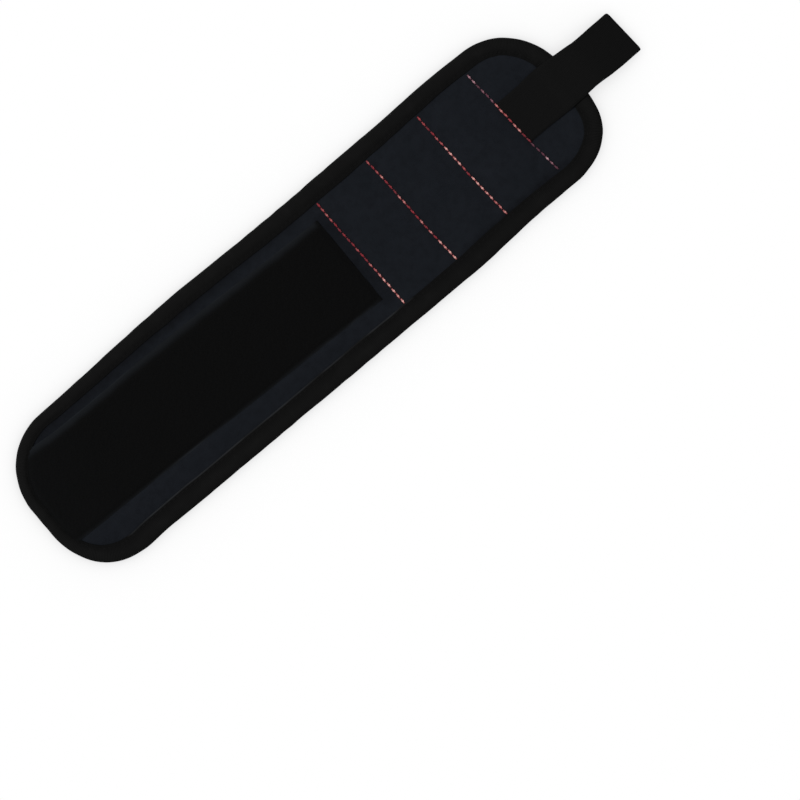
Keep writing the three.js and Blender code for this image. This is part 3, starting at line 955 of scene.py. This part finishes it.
def make_net():
    side = NET_PITCH / math.sin(2 * NET_ANGLE)
    a = side * np.array([math.cos(NET_ANGLE), math.sin(NET_ANGLE)])
    b = side * np.array([math.cos(NET_ANGLE), -math.sin(NET_ANGLE)])
    reach = int(HALF_LENGTH / side) + 20
    i, j = np.meshgrid(np.arange(-reach, reach), np.arange(-reach, reach), indexing="ij")
    centre = i.reshape(-1, 1) * a + j.reshape(-1, 1) * b + np.array([CENTRE_X, 0])
    for depth, least in ((inset, NET_INSET), (back_inside, -NET_UNDER), (back_fullness, NET_LEAST)):
        centre = centre[depth(centre[:, 0], centre[:, 1]) > least]
    step = np.stack([np.arange(RIM_STEPS) / RIM_STEPS, np.zeros(RIM_STEPS)], -1)
    rim = np.concatenate([step, step[:, ::-1] + [1, 0], [1, 1] - step, [0, 1] - step[:, ::-1]]) - 0.5
    hole = NET_OPEN * rim / (np.sum(np.abs(2 * rim) ** 7, -1, keepdims=True) ** (1 / 7))
    on_a, on_b = np.abs(rim[:, 1]) > 0.499, np.abs(rim[:, 0]) > 0.499
    rings = []
    for share, up, pale in NET_RINGS:
        ab = rim * (1 - share) + hole * share
        xy = centre[:, None] + ab[:, :1] * a + ab[:, 1:] * b
        x, y = xy[..., 0], xy[..., 1]
        full = back_fullness(x, y)
        # In two stretches the strands of one direction lie on top of the others
        over_a = 1 - (0.6 + 0.3 * ramp(-20, 15, y)) * bell(x + 78, 42)
        over_b = 1 - 0.95 * bell(x - 80, 27)
        over = np.maximum(on_a * over_a, on_b * over_b)
        z = back_height(x, y) + up * (0.1 + 0.9 * full) + 0.3 * (1 - over) * full
        x = x + 1.1 * noise(x, y, 11, 7) + 0.5 * noise(x, y, 4, 8)
        y = y + 1.1 * noise(x, y, 12, 9) + 0.5 * noise(x, y, 4.5, 10)
        # Painted shade: darker down into each hole and on the strands that lie under the others. The strands are also
        # dimmer where the net is pressed shut
        tone = pale * over * full**0.7 - 0.8 * (1 - over) * full
        rings.append(np.stack([x, y, z, tone], -1))
    cells = np.stack(rings, 1)  # mesh, ring, point, (x, y, z, tone)
    size = cells.shape[1] * cells.shape[2]
    walls = quads(*cells.shape[1:3], closed=True)
    zones = zone_of(centre[:, 0])
    for zone in np.unique(zones).tolist():
        mine = cells[zones == zone].reshape(-1, 4)
        faces = walls[None] + np.arange(0, len(mine), size)[:, None, None]
        _, first, back = np.unique(np.round(mine[:, :3], 3), axis=0, return_index=True, return_inverse=True)
        mine, faces = mine[first], back.reshape(-1)[faces.reshape(-1, 4)]
        shape = mine[:, :3], faces.tolist(), mine[:, :2]
        bend(piece(f"mesh_net_{zone + 1}", shape, NET, "spacer_mesh", mine[:, 3]), zone)


# Binding

# Half of the tape's section: distance in from the outline, and height, from its sewn edge to the fold
TAPE_HALF = [
    (11.0, 4.38), (11.03, 4.6), (10.9, 4.8), (10.5, 4.9), (9.9, 4.9), (9.25, 4.82),
    (8.6, 4.95), (7.6, 5.1), (6.2, 5.22), (4.8, 5.28), (3.5, 5.26), (2.4, 5.12),
    (1.5, 4.82), (0.8, 4.35), (0.3, 3.7), (0.05, 3.15), (0.0, 2.65),
]
TAPE_INSIDE = [(10.2, 0.92), (2.4, 0.95), (1.2, 1.6), (0.9, 2.65), (1.2, 3.7), (2.4, 4.35), (10.2, 4.38)]
TAPE_RING = np.array(TAPE_HALF + [(d, THICK - z) for d, z in TAPE_HALF[-2::-1]] + TAPE_INSIDE)
TAPE_SHOWS = np.arange(len(TAPE_RING)) < 2 * len(TAPE_HALF) - 1
TAPE_V = np.concatenate([[0], np.cumsum(np.hypot(*np.diff(TAPE_RING, axis=0).T))])
# The points of the tape's section at its sewn edge, which take the painted highlight
TAPE_HIGHLIGHT = np.where(np.arange(len(TAPE_RING)) < 4, 1.0, 0.0)
# The front grows darker from the middle of the tape to its sewn edge
TAPE_SHADE = 0.42 * ramp(4.5, 9.5, TAPE_RING[:, 0]) * (TAPE_RING[:, 1] > THICK / 2)
FOLD = 3.0  # the fold keeps its shape where the tape shows less
SEW_IN = 1.75  # from the tape's edge to its line of stitches
EDGE_STITCHES = 286
EDGE_STITCH = PERIMETER / EDGE_STITCHES
EDGE_THREAD = dict(length=2.5, radius=0.22, sink=0.3, sides=5, steps=6)
SEW_LEVEL = 4.86  # the height of these stitches on the face
TAPE_STEP = 0.85


def tape_runs(zone):
    """The stretches of the outline in one zone, as first and last place round it."""
    def sides(x):
        low_side = 2 * ARC_X + 2 * CORNER + 2 * FLAT_Y
        return x - CENTRE_X + ARC_X, low_side + ARC_X - (x - CENTRE_X)

    up0, down0 = sides(ZONE_X[zone])
    up1, down1 = sides(ZONE_X[zone + 1])
    if zone == 0:
        return [(down1, up1 + PERIMETER)]
    if zone == ZONES - 1:
        return [(up0, down0)]
    return [(up0, up1), (down1, down0)]


def tape_rings(place):
    """The binding's section at places round the outline, with the gathers of a sewn tape."""
    point, out = outline_at(place)
    x, y, s = point[:, :1], point[:, 1:], place[:, None]
    drawn, z = TAPE_RING.T
    face = np.where(z > THICK / 2, 1.0, -1.0)
    width = np.where(face > 0, FRONT_TAPE(s), BACK_TAPE(s))
    d = np.where(drawn < FOLD, drawn, FOLD + (drawn - FOLD) * (width - FOLD) / (TAPE - FOLD))
    d = d + ramp(8, 11, drawn) * 0.3 * noise(x, y, 9, 13)
    d = d + ramp(6, 0, drawn) * (0.3 * noise(x, y, 13, 11) + 0.2 * noise(x, y, 5, 12))
    gather = noise(x + 3 * face, y, 3.1, 14) * ramp(3, 10, drawn) * (0.14 + 0.4 * TURNING(s))
    pinch = -0.1 * np.cos(2 * math.pi * s / EDGE_STITCH) * bell(drawn - TAPE + SEW_IN, 0.9)
    puff = 0.18 * noise(x, y, 8, 15) * ramp(0.5, 4, drawn) * ramp(9, 6, drawn)
    z = np.clip(z + np.where(TAPE_SHOWS, face * (gather + pinch + puff), 0), 0.0, THICK + 0.15)
    xy = point[:, None] - out[:, None] * d[..., None]
    uv = np.stack(np.broadcast_arrays(s, TAPE_V), -1)
    # A painted highlight along the tape's edge on the face; elsewhere painted shade towards its sewn edge
    line = np.clip(EDGE_HIGHLIGHT(s) + 0.9 * noise(s, 0 * s, 6, 28), 0, 1) * (EDGE_HIGHLIGHT(s) > 0.05)
    line = TAPE_HIGHLIGHT * line
    return np.concatenate([xy, z[..., None]], -1), uv, np.where(line > 0.02, line, -TAPE_SHADE)


def make_binding():
    place = (np.arange(EDGE_STITCHES) + 0.5) * EDGE_STITCH
    point, out = outline_at(place)
    along = np.stack([out[:, 1], -out[:, 0], 0 * place], -1)
    for zone in range(ZONES):
        shapes, normals, tones = [], [], []
        for first, last in tape_runs(zone):
            n = int((last - first) / TAPE_STEP)
            step = (last - first) / n
            rings, uv, line = tape_rings(first + step * np.arange(-1, n + 2))
            shapes.append(swept(rings[1:-1], uv[1:-1]))
            normals.append(grid_normals(rings, closed=True)[1:-1].reshape(-1, 3))
            tones.append(line[1:-1].ravel())
        shape = joined(shapes)
        normals, tones = np.concatenate(normals), np.concatenate(tones)
        obj = piece(f"edge_tape_{zone + 1}", shape, BINDING, "binding_tape", tones, normals)
        nodes = [f"binding_left_{zone + 1}", f"binding_right_{zone + 1}"] if zone else ["binding_end_1"]
        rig.replaces(obj, *nodes, *(["binding_end_10"] if zone == ZONES - 1 else []))
        bend(obj, zone)
        mine = zone_of(point[:, 0]) == zone
        shapes = []
        for face, width in ((1.0, FRONT_TAPE(place)), (-1.0, BACK_TAPE(place))):
            xy = point - out * (width - SEW_IN)[:, None]
            z = np.full((len(xy), 1), THICK / 2 + face * (SEW_LEVEL - THICK / 2))
            up = np.tile([0.0, 0.0, face], (len(xy), 1))
            at = np.concatenate([xy, z], -1)
            shapes.append(stitches(at[mine], along[mine], up[mine], **EDGE_THREAD))
        bend(piece(f"edge_stitching_{zone + 1}", joined(shapes), BLACK, "binding_tape"), zone)


# Loop patch

LOOP_INSET, LOOP_STEP, LOOP_ROWS = 6.2, 0.6, 91
LOOP_ZONES = 6
LOOP_UNDER = 4.3  # the height of its far side
LOOP_BASE = 4.86  # the least height of its woven ground
LOOP_TUCKED = 4.98  # the greatest height where the binding covers it
LOOP_LEAN = 1.4  # how far the +Y selvedge leans outward at the plain end
# How bright the painted highlight on the edge of each selvedge is, at places along the band
HIGHLIGHT_X = (-180, -144, -113, -83, -52, -22, 6)
HIGHLIGHT_TOP = (0.35, 0.95, 0.6, 0.15, 0.8, 0.45, 0.75)
HIGHLIGHT_LOW = (0, 0.25, 0.95, 0.08, 0.35, 0.4, 0.45)


def make_loop_patch():
    xs = columns(LOOP_INSET, LOOP_STEP)
    xs = np.unique(np.append(xs[xs < LOOP_END - 0.3 * LOOP_STEP], LOOP_END))
    v = np.linspace(-1, 1, LOOP_ROWS)
    middle = -(xs - LOOP_END) * LOOP_SKEW
    limit = half_width(xs, LOOP_INSET)
    lean = LOOP_LEAN * ((LOOP_END - xs) / (LOOP_END - LEFT)) ** 2
    y1, y0 = np.minimum(middle + lean + SELVEDGE[0], limit), np.maximum(middle - SELVEDGE[1], -limit)
    y = (y0 + y1)[:, None] / 2 + v[None] * (y1 - y0)[:, None] / 2
    x = np.repeat(xs[:, None], len(v), 1)
    end = LOOP_END - x
    x = x + ((y - middle[:, None]) * LOOP_SKEW / 3 + 0.35 * noise(y, 0 * y, 3.5, 16)) * ramp(14, 0, end)
    off = y - middle[:, None]
    sides = np.where(off > 0, SELVEDGE[0] + lean[:, None] - off, SELVEDGE[1] + off)
    pile = np.where(off > 0, PILE_EDGE[0] + 0.4 * lean[:, None] - off, PILE_EDGE[1] + off)
    pile = pile + 0.7 * noise(x, off, 5, 17)
    butt = front_inside(x, y)
    tuft = ramp(-0.8, 2.0, pile) * ramp(-0.2, 4.0, end)
    rough = 0.26 * noise(x, y, 0.95, 17) + 0.18 * noise(x, y, 2.3, 18) + 0.2 * noise(x, y, 7, 19)
    z = LOOP_BASE + 0.14 * ramp(0, 0.5, sides) + tuft * ramp(-0.4, 2.2, butt) * (0.8 + rough)
    z = np.where(butt < 0.4, np.minimum(z, LOOP_TUCKED), z)
    top = np.stack([x, y, z], -1)
    # Both selvedges are plain woven strips, paler than the pile partly through painted sheen, with a painted highlight
    # at the edge that is brighter in places
    bright = np.where(off > 0, np.interp(x, HIGHLIGHT_X, HIGHLIGHT_TOP), np.interp(x, HIGHLIGHT_X, HIGHLIGHT_LOW))
    line = (1 - ramp(0.3, 0.9, sides)) * np.clip(bright + 0.5 * noise(x, y, 6, 20), 0, 1) * ramp(2, 9, end)
    pale = np.maximum(line, 0.5 * ramp(0.8, -3.7, pile) * ramp(0, 3, end))
    pale = pale + 0.035 * ramp(LEFT + 60, LEFT + 5, x)
    for zone, _, obj in zone_sheets("loop_pile", xs, top, LOOP_UNDER, PILE, "loop_pile", pale, LOOP_ZONES):
        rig.replaces(obj, f"loop_patch_{zone + 1}")
        bend(obj, zone)


# Hook patch

HOOK_BASE, HOOK_FAR = 0.4, 1.08  # the heights of the tape's two sides
HOOK_STEP, HOOK_ROWS = 0.5, 84
HOOK_TUCK = 4.9  # how far it goes under the binding beyond its solid
HOOK_RADIUS = 0.11  # of a hook's wire
HOOK_PITCH = (1.5, 1.25)  # between hooks, along the band and across it
HOOK_MARGIN = 2.9  # from the tape's long edges to the hooks
HOOK_CLEAR = (4.7, 1.9)  # from its two ends to the hooks
HOOK_CURVE = END_RADIUS - 9.0  # the patch's far corners follow the binding


def hook_end(y):
    """Where the hook patch goes under the edge of the binding."""
    t = np.maximum(np.abs(y) - FLAT_Y, 0)
    curve = CENTRE_X + ARC_X + np.sqrt(np.maximum(HOOK_CURVE**2 - t * t, 0))
    return np.minimum(curve, HOOK_X1 + HOOK_TUCK)


def make_hook_tape(name, zone, near, far, ys):
    n = int((far - near).max() / HOOK_STEP) + 1
    x = near + np.linspace(0, 1, n)[:, None] * (far - near)[None]
    y = np.repeat(ys[None], n, 0)
    side = np.minimum(y - HOOK_Y0, HOOK_Y1 - y)
    front, back = x - hook_start(y), hook_end(y) - x
    # The woven edges, a groove inside them, and the field of hooks
    band = np.where(y > 0, np.interp(x, [HOOK_X0, HOOK_X1], [2.7, 1.7]), 2.0)
    groove = np.maximum(bell(side - band - 0.3, 0.35), bell(front - 4.0, 0.4))
    groove = groove * ramp(band - 0.3, band + 0.3, side) * ramp(3.2, 4.0, front)
    z = HOOK_BASE + 0.34 * groove + 0.2 * (1 - ramp(0, 0.6, np.minimum(side, front)))
    z += 0.45 * (1 - ramp(0.6, 1.6, back)) + 0.05 * noise(x, y, 6, 20) + 0.03 * noise(x, y, 1.3, 21)
    pale = (1 - ramp(band - 0.7, band, side)) * np.where(y > 0, 0.95, 0.75)
    pale = np.maximum(pale, 1 - ramp(0.4, 0.9, front))
    pale = pale * (1 + 0.4 * noise(x, y, 8, 27))
    low = np.stack([x, y, z], -1)
    shape = crowned(low, HOOK_FAR, flip=True)
    obj = piece(f"hook_tape_{name}", shape, HOOK, "hook_tape", pale, -grid_normals(low))
    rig.replaces(obj, f"hook_patch_{name}")
    bend(obj, zone)


def hook_shapes(spots, ways):
    """Small bent hooks that stand on the wrist side of the tape, half of them facing each way."""
    line = np.array([(0, HOOK_BASE + 0.2), (0, 0.36), (0.05, 0.16), (0.22, 0.06), (0.42, 0.12), (0.5, 0.28)])
    tangent = np.gradient(line, axis=0)
    tangent /= np.hypot(*tangent.T)[:, None]
    angle = np.linspace(0, 2 * math.pi, 4, endpoint=False) + math.pi / 4
    across, normal = HOOK_RADIUS * np.cos(angle), HOOK_RADIUS * np.sin(angle)
    shapes = []
    for (hx, hy), way in zip(spots, ways):
        y = hy + way * (line[:, :1] - tangent[:, 1:] * normal[None])
        z = line[:, 1:] + tangent[:, :1] * normal[None]
        ring = np.stack([np.broadcast_to(hx + across[None], y.shape), y, z], -1)
        ring = ring if way > 0 else ring[:, ::-1]
        shapes.append(swept(ring, ring[..., :2]))
    return joined(shapes)


def make_hook_patch():
    cut = ZONE_X[ZONES - 1]
    ys = np.linspace(HOOK_Y0, HOOK_Y1, HOOK_ROWS)
    make_hook_tape("inner", ZONES - 2, hook_start(ys), np.full_like(ys, cut), ys)
    make_hook_tape("outer", ZONES - 1, np.full_like(ys, cut), hook_end(ys), ys)
    rng = np.random.RandomState(22)
    along = np.arange(HOOK_X0 + 2, HOOK_X1 + 5, HOOK_PITCH[0])
    across = np.arange(HOOK_Y0 + HOOK_MARGIN, HOOK_Y1 - HOOK_MARGIN, HOOK_PITCH[1])
    gx, gy = np.meshgrid(along, across)
    gx = gx + np.where(np.arange(len(gx))[:, None] % 2, HOOK_PITCH[0] / 2, 0.0)
    spots = np.stack([gx.ravel(), gy.ravel()], -1)
    spots = spots + rng.uniform(-0.12, 0.12, spots.shape)
    spots = spots[spots[:, 0] < hook_end(spots[:, 1]) - HOOK_CLEAR[1]]
    spots = spots[spots[:, 0] > hook_start(spots[:, 1]) + HOOK_CLEAR[0]]
    ways = np.where(rng.rand(len(spots)) < 0.5, 1.0, -1.0)
    for name, zone in (("inner", ZONES - 2), ("outer", ZONES - 1)):
        mine = (spots[:, 0] < cut) == (name == "inner")
        bend(piece(f"hooks_{name}", hook_shapes(spots[mine], ways[mine]), HOOKS, "hook_tape"), zone)


# Red seams

SEAM_THREAD = dict(length=0.95 * STITCH, radius=0.48, sink=0.58, plies=2, turns=1.1, sides=8, steps=15)
# How much painted light the stitches of each row get along it: a bright one gets a pale painted highlight on its
# crest, a dull one little
SHEEN = [
    [(0, 0.45), (3, 0.5), (5, 0.2), (11, 0.3), (13, 0.6), (15, 0.95), (19, 1.0)],
    [(0, 0.45), (8, 0.3), (13, 0.45), (16, 0.85), (19, 0.95)],
    [
        (0, 0.35), (4, 0.4), (7, 0.95), (9, 0.9), (10, 0.4),
        (11, 0.4), (12, 0.8), (16, 1.0), (18, 0.5), (19, 0.9),
    ],
    [(0, 0.4), (5, 0.45), (6, 0.52), (10, 0.6), (12, 0.3), (14, 0.2), (16, 0.3), (17, 0.65), (19, 0.3)],
]


def make_seams():
    rng = np.random.RandomState(23)
    for row in range(ROWS):
        y = ROW_TOP - (np.arange(STITCHES) + 0.5) * STITCH + rng.uniform(-0.14, 0.14, STITCHES)
        x = seam_line(row, y) + rng.uniform(-0.12, 0.12, STITCHES)
        z = face_height(x, y) + 0.2
        tilt = np.zeros(STITCHES)
        if row == LAST_ROW:
            on = 1 - ramp(STRAP_HALF - 0.4, STRAP_HALF + 1.6, np.abs(y))
            z = z * (1 - on) + on * (STRAP_LEVEL + STRAP_T + 0.22)
            tilt = np.gradient(z, y)
        yaw = SKEW[row] + rng.uniform(-0.09, 0.09, STITCHES)
        along = np.stack([np.sin(yaw), -np.cos(yaw), -tilt], -1)
        along /= np.linalg.norm(along, axis=1)[:, None]
        side = np.stack([np.cos(yaw), np.sin(yaw), 0 * yaw], -1)
        up = np.cross(side, -along)
        up *= np.sign(up[:, 2:])
        spot = np.stack([x, y, z], -1)
        shape = stitches(spot, along, up, **SEAM_THREAD)
        sheen = np.interp(np.arange(STITCHES), *np.array(SHEEN[row]).T) + rng.normal(0, 0.2, STITCHES)
        # The last row is faded beside the strap
        faded = (np.abs(y) > STRAP_HALF) & (row == LAST_ROW)
        number = np.round(shape[2][:, 1]).astype(int)
        # The painted highlight is strongest where the thread's surface faces up
        ridge = 0.5 + 0.5 * ramp(0.3, 1.0, (shape[2][:, 1] - number) / ROUND)
        tone = np.clip(sheen, 0.02, 0.98)[number] * ridge + faded[number]
        obj = piece(f"seam_thread_{row + 1}", shape, RED, "red_thread", tone)
        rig.replaces(obj, f"stitch_row_{row + 1}")
        bend(obj, int(zone_of(SEAM_X[row])))


# Strap and pull tab

TAB_ROOT = edge("pull_tab", 0)
TAB_DROP = 3.8
TAB_RUN = edge("pull_tab", 1) - TAB_ROOT
TAB_R = (TAB_RUN**2 + TAB_DROP**2) / (2 * TAB_DROP)
TAB_TIP = TAB_ROOT + TAB_R * math.asin(TAB_RUN / TAB_R) - 1.4
TIP_SKEW = math.tan(math.radians(3.2))
CLIMB = (RIGHT - 16.8, RIGHT - 9.6)
TAB_BEND = ((RIGHT - 0.2) * MM, 0, 0), ((RIGHT + 8) * MM, 0, 0)
STRAP_START = SEAM_X[LAST_ROW] - 0.8
BOW_END = RIGHT + 9  # the tab needs fewer sections beyond this place
TIP_LENGTH = 2.4  # the tip needs more over this length
BACK_SHORT = 1.3  # how much shorter the back ply is
BACK_PLY = (-1.12, -0.06)  # its heights over the strap's line
WEB_ROWS = 33
# The strap's edges on +Y and -Y at places from the body's end: drawn in where it leaves the body
STRAP_EDGES = np.array([
    (-32, 12.8, -13.2), (-26, 13.0, -13.3), (-21, 13.4, -13.5), (-14, 13.7, -13.7), (-3, 12.9, -13.4),
    (4, 12.3, -13.05), (8.6, 11.75, -13.25), (14, 11.8, -13.7), (24, 11.9, -13.7), (36, 12.2, -13.5),
])


def strap_line(s):
    """Place and upward direction, in X and Z, of the strap's underside at s along it."""
    turn = np.maximum(s - TAB_ROOT, 0) / TAB_R
    x = np.where(s < TAB_ROOT, s, TAB_ROOT + TAB_R * np.sin(turn))
    climb = (THICK + 0.02 - STRAP_LEVEL) * ramp(*CLIMB, s)
    return x, STRAP_LEVEL + climb - TAB_R * (1 - np.cos(turn)), np.sin(turn), np.cos(turn)


def web_rings(s, tip, shift, low, high, seed):
    """Sections of a flat woven strap between two heights over its line. A ply that lies to one side
    by shift is as much narrower."""
    s = s[:, None]
    v = np.linspace(-1, 1, WEB_ROWS)
    at, high_y, low_y = STRAP_EDGES.T
    high_y, low_y = np.interp(s - RIGHT, at, high_y), np.interp(s - RIGHT, at, low_y)
    half = (high_y - low_y) / 2 - abs(shift)
    gap = (1 - np.abs(v)) * STRAP_HALF
    rib = 0.05 * np.cos(2 * math.pi * v * STRAP_HALF / 1.9)
    thin = (high - low) * (0.42 * (1 - ramp(0, 0.9, gap)) + 0.12 * ramp(tip - 1.2, tip, s))
    top, bottom = high - thin + rib - 0.03, low + thin - rib + 0.03
    v = np.concatenate([v[::-1], v])[None]
    h = np.concatenate([top[:, ::-1], bottom], 1)
    corner = np.where(v > 0, 1.3, 1.0)  # the outer corner is the rounder one
    near_tip = np.clip(s - tip + corner, 0, corner)
    round_off = corner - np.sqrt(corner**2 - near_tip**2)
    fray = 0.3 * noise(s, 0 * s + seed, 7, seed) * np.sign(v) * ramp(0.9, 1, np.abs(v))
    y = (high_y + low_y) / 2 + shift + v * (half - round_off) + fray
    skewed = s - y * TIP_SKEW * ramp(tip - 14, tip, s)
    skewed = skewed - y * math.tan(SKEW[LAST_ROW]) * ramp(STRAP_START + 14, STRAP_START, s)
    x, z, out_x, out_z = strap_line(skewed)
    h = h + 0.12 * noise(s, y, 9, seed + 1)
    uv = np.stack(np.broadcast_arrays(s, y), -1)
    return np.stack([x + out_x * h, y, z + out_z * h], -1), uv


def make_strap():
    cut = MID[-1]

    def ply(name, s, tip, shift, low, high, seed):
        # One more section at each end, for normals that go on over the cut
        longer = np.concatenate([[2 * s[0] - s[1]], s, [2 * s[-1] - s[-2]]])
        rings, uv = web_rings(longer, tip, shift, low, high, seed)
        out = grid_normals(rings, closed=True)[1:-1]
        along, across = uv[1:-1, :, 0], uv[1:-1, :, 1]
        # Dark at the melted tip; beyond the body the front ply is a little darker, and the back ply gets painted shade
        # along its -Y edge
        seal_and_shade = ramp(tip - 0.5, tip - 0.2, along)
        if not shift:
            seal_and_shade = np.maximum(seal_and_shade, 0.1 * ramp(RIGHT + 4, RIGHT + 12, along))
        else:
            low_side = ramp(0.5, 0.2, across - across.min(axis=1, keepdims=True))
            seal_and_shade = np.maximum(seal_and_shade, low_side * ramp(RIGHT + 8, RIGHT + 20, along))
        shape = swept(rings[1:-1], uv[1:-1])
        return piece(name, shape, WEBBING, "webbing", seal_and_shade, out, ease=False)

    sewn = ply("strap_sewn", np.linspace(STRAP_START, cut, 26), TAB_TIP, 0, 0, STRAP_T, 24)
    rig.replaces(sewn, "strap_base")
    bend(sewn, ZONES - 1)
    root, bow = np.linspace(cut, RIGHT - 2, 24), np.linspace(RIGHT - 2, BOW_END, 26)
    free = np.concatenate([root, bow[1:], np.linspace(BOW_END, TAB_TIP - TIP_LENGTH, 24)[1:]])
    rounding = TIP_LENGTH * np.sin(np.linspace(0, math.pi / 2, 12))[1:]
    front = np.concatenate([free, TAB_TIP - TIP_LENGTH + rounding])
    tab = ply("strap_tab_front", front, TAB_TIP, 0, 0, STRAP_T, 24)
    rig.replaces(tab, "pull_tab")
    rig.blend(tab, "tab_panel", "tab", *TAB_BEND)
    tip = TAB_TIP - BACK_SHORT
    shift = middle("pull_tab_back", 1) / 2
    bow, free = np.linspace(TAB_ROOT, BOW_END, 22), np.linspace(BOW_END, tip - TIP_LENGTH, 24)
    back = np.concatenate([bow, free[1:], tip - TIP_LENGTH + rounding])
    lower = ply("tab_back_ply", back, tip, shift, *BACK_PLY, 26)
    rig.replaces(lower, "pull_tab_back")
    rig.blend(lower, "tab_panel", "tab", *TAB_BEND)


# Stage

WHITE = (1, 1, 1)


def make_floor():
    """A pale floor that shows the band's soft contact shadow and hides nothing behind it."""
    half, gap = 2.0, 0.4 * MM  # in metres; the gap keeps it clear of the band
    reach, shaded = 0.03, (0.6, 0.6, 0.605)  # of the contact shadow
    corners = [(-half, -half, 0), (half, -half, 0), (half, half, 0), (-half, half, 0)]
    mesh = bpy.data.meshes.new("floor")
    mesh.from_pydata(corners, [], [(0, 1, 2, 3)])
    floor = placed("floor", mesh)
    floor.location.z = -gap
    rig.stage(floor)
    paint = bpy.data.materials.new("pale_floor")
    paint.use_nodes = True
    tree = paint.node_tree
    tree.nodes.remove(tree.nodes["Principled BSDF"])
    seen = new_node(tree, "LightPath").outputs["Is Camera Ray"]
    free = new_node(tree, "AmbientOcclusion", {"Distance": reach}, samples=8).outputs["AO"]
    tint = new_node(tree, "Mix", {0: free, 6: shaded, 7: WHITE}, data_type="RGBA").outputs[2]
    tint = new_node(tree, "Mix", {0: seen, 6: WHITE, 7: tint}, data_type="RGBA").outputs[2]
    clear = new_node(tree, "BsdfTransparent", {0: tint})
    fill(tree, tree.nodes["Material Output"], {0: clear.outputs[0]})
    mesh.materials.append(paint)


def make_light():
    """An even white studio, a soft key light from above to one side, and a soft light from below."""
    ambient = 0.42  # how strongly the studio lights the band; it is seen as white
    world = bpy.data.worlds.new("studio")
    bpy.context.scene.world = world
    world.use_nodes = True
    tree = world.node_tree
    path = new_node(tree, "LightPath")
    seen = path.outputs["Is Camera Ray"]
    for ray in ("Is Glossy Ray", "Is Transmission Ray"):
        seen = new_node(tree, "Math", {0: seen, 1: path.outputs[ray]}, operation="MAXIMUM").outputs[0]
    level = new_node(tree, "Mix", {0: seen, 2: ambient, 3: 1.0}, data_type="FLOAT").outputs[0]
    fill(tree, tree.nodes["Background"], {"Strength": level, "Color": WHITE})
    for name, strength, spread, aim in (
        ("key", 1.71, 16, (math.radians(38), 0, math.radians(-130))),
        ("under", 2.6, 40, (math.radians(225), 0, math.radians(30))),
    ):
        sun = bpy.data.lights.new(name, "SUN")
        sun.energy, sun.angle = strength, math.radians(spread)
        placed(name, sun).rotation_euler = aim


def make_camera():
    """Straight above, from far away, as in the photograph."""
    field, height = 0.408, 3.0  # in metres
    aim_x, aim_y, turn = -14.7, -70.4, -40.28
    camera = bpy.data.cameras.new("camera")
    camera.sensor_width = 36
    camera.lens = camera.sensor_width * height / field
    camera.clip_end = 20
    eye = placed("camera", camera)
    eye.location = (aim_x * MM, aim_y * MM, height)
    eye.rotation_euler = (0, 0, math.radians(turn))
    scene = bpy.context.scene
    scene.camera = eye
    scene.view_settings.view_transform = "Standard"


make_floor()
make_light()
make_camera()
make_pad()
make_face()
make_net()
make_binding()
make_loop_patch()
make_hook_patch()
make_seams()
make_strap()
for name, node in frame["nodes"].items():
    if name.startswith("magnet_"):
        node.data.materials.clear()
        node.data.materials.append(NICKEL)

with open("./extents.json", "w") as f:
    json.dump({"cad": [list(c) for c in CAD_BOX], "visual": [list(c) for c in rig.bounds()]}, f)
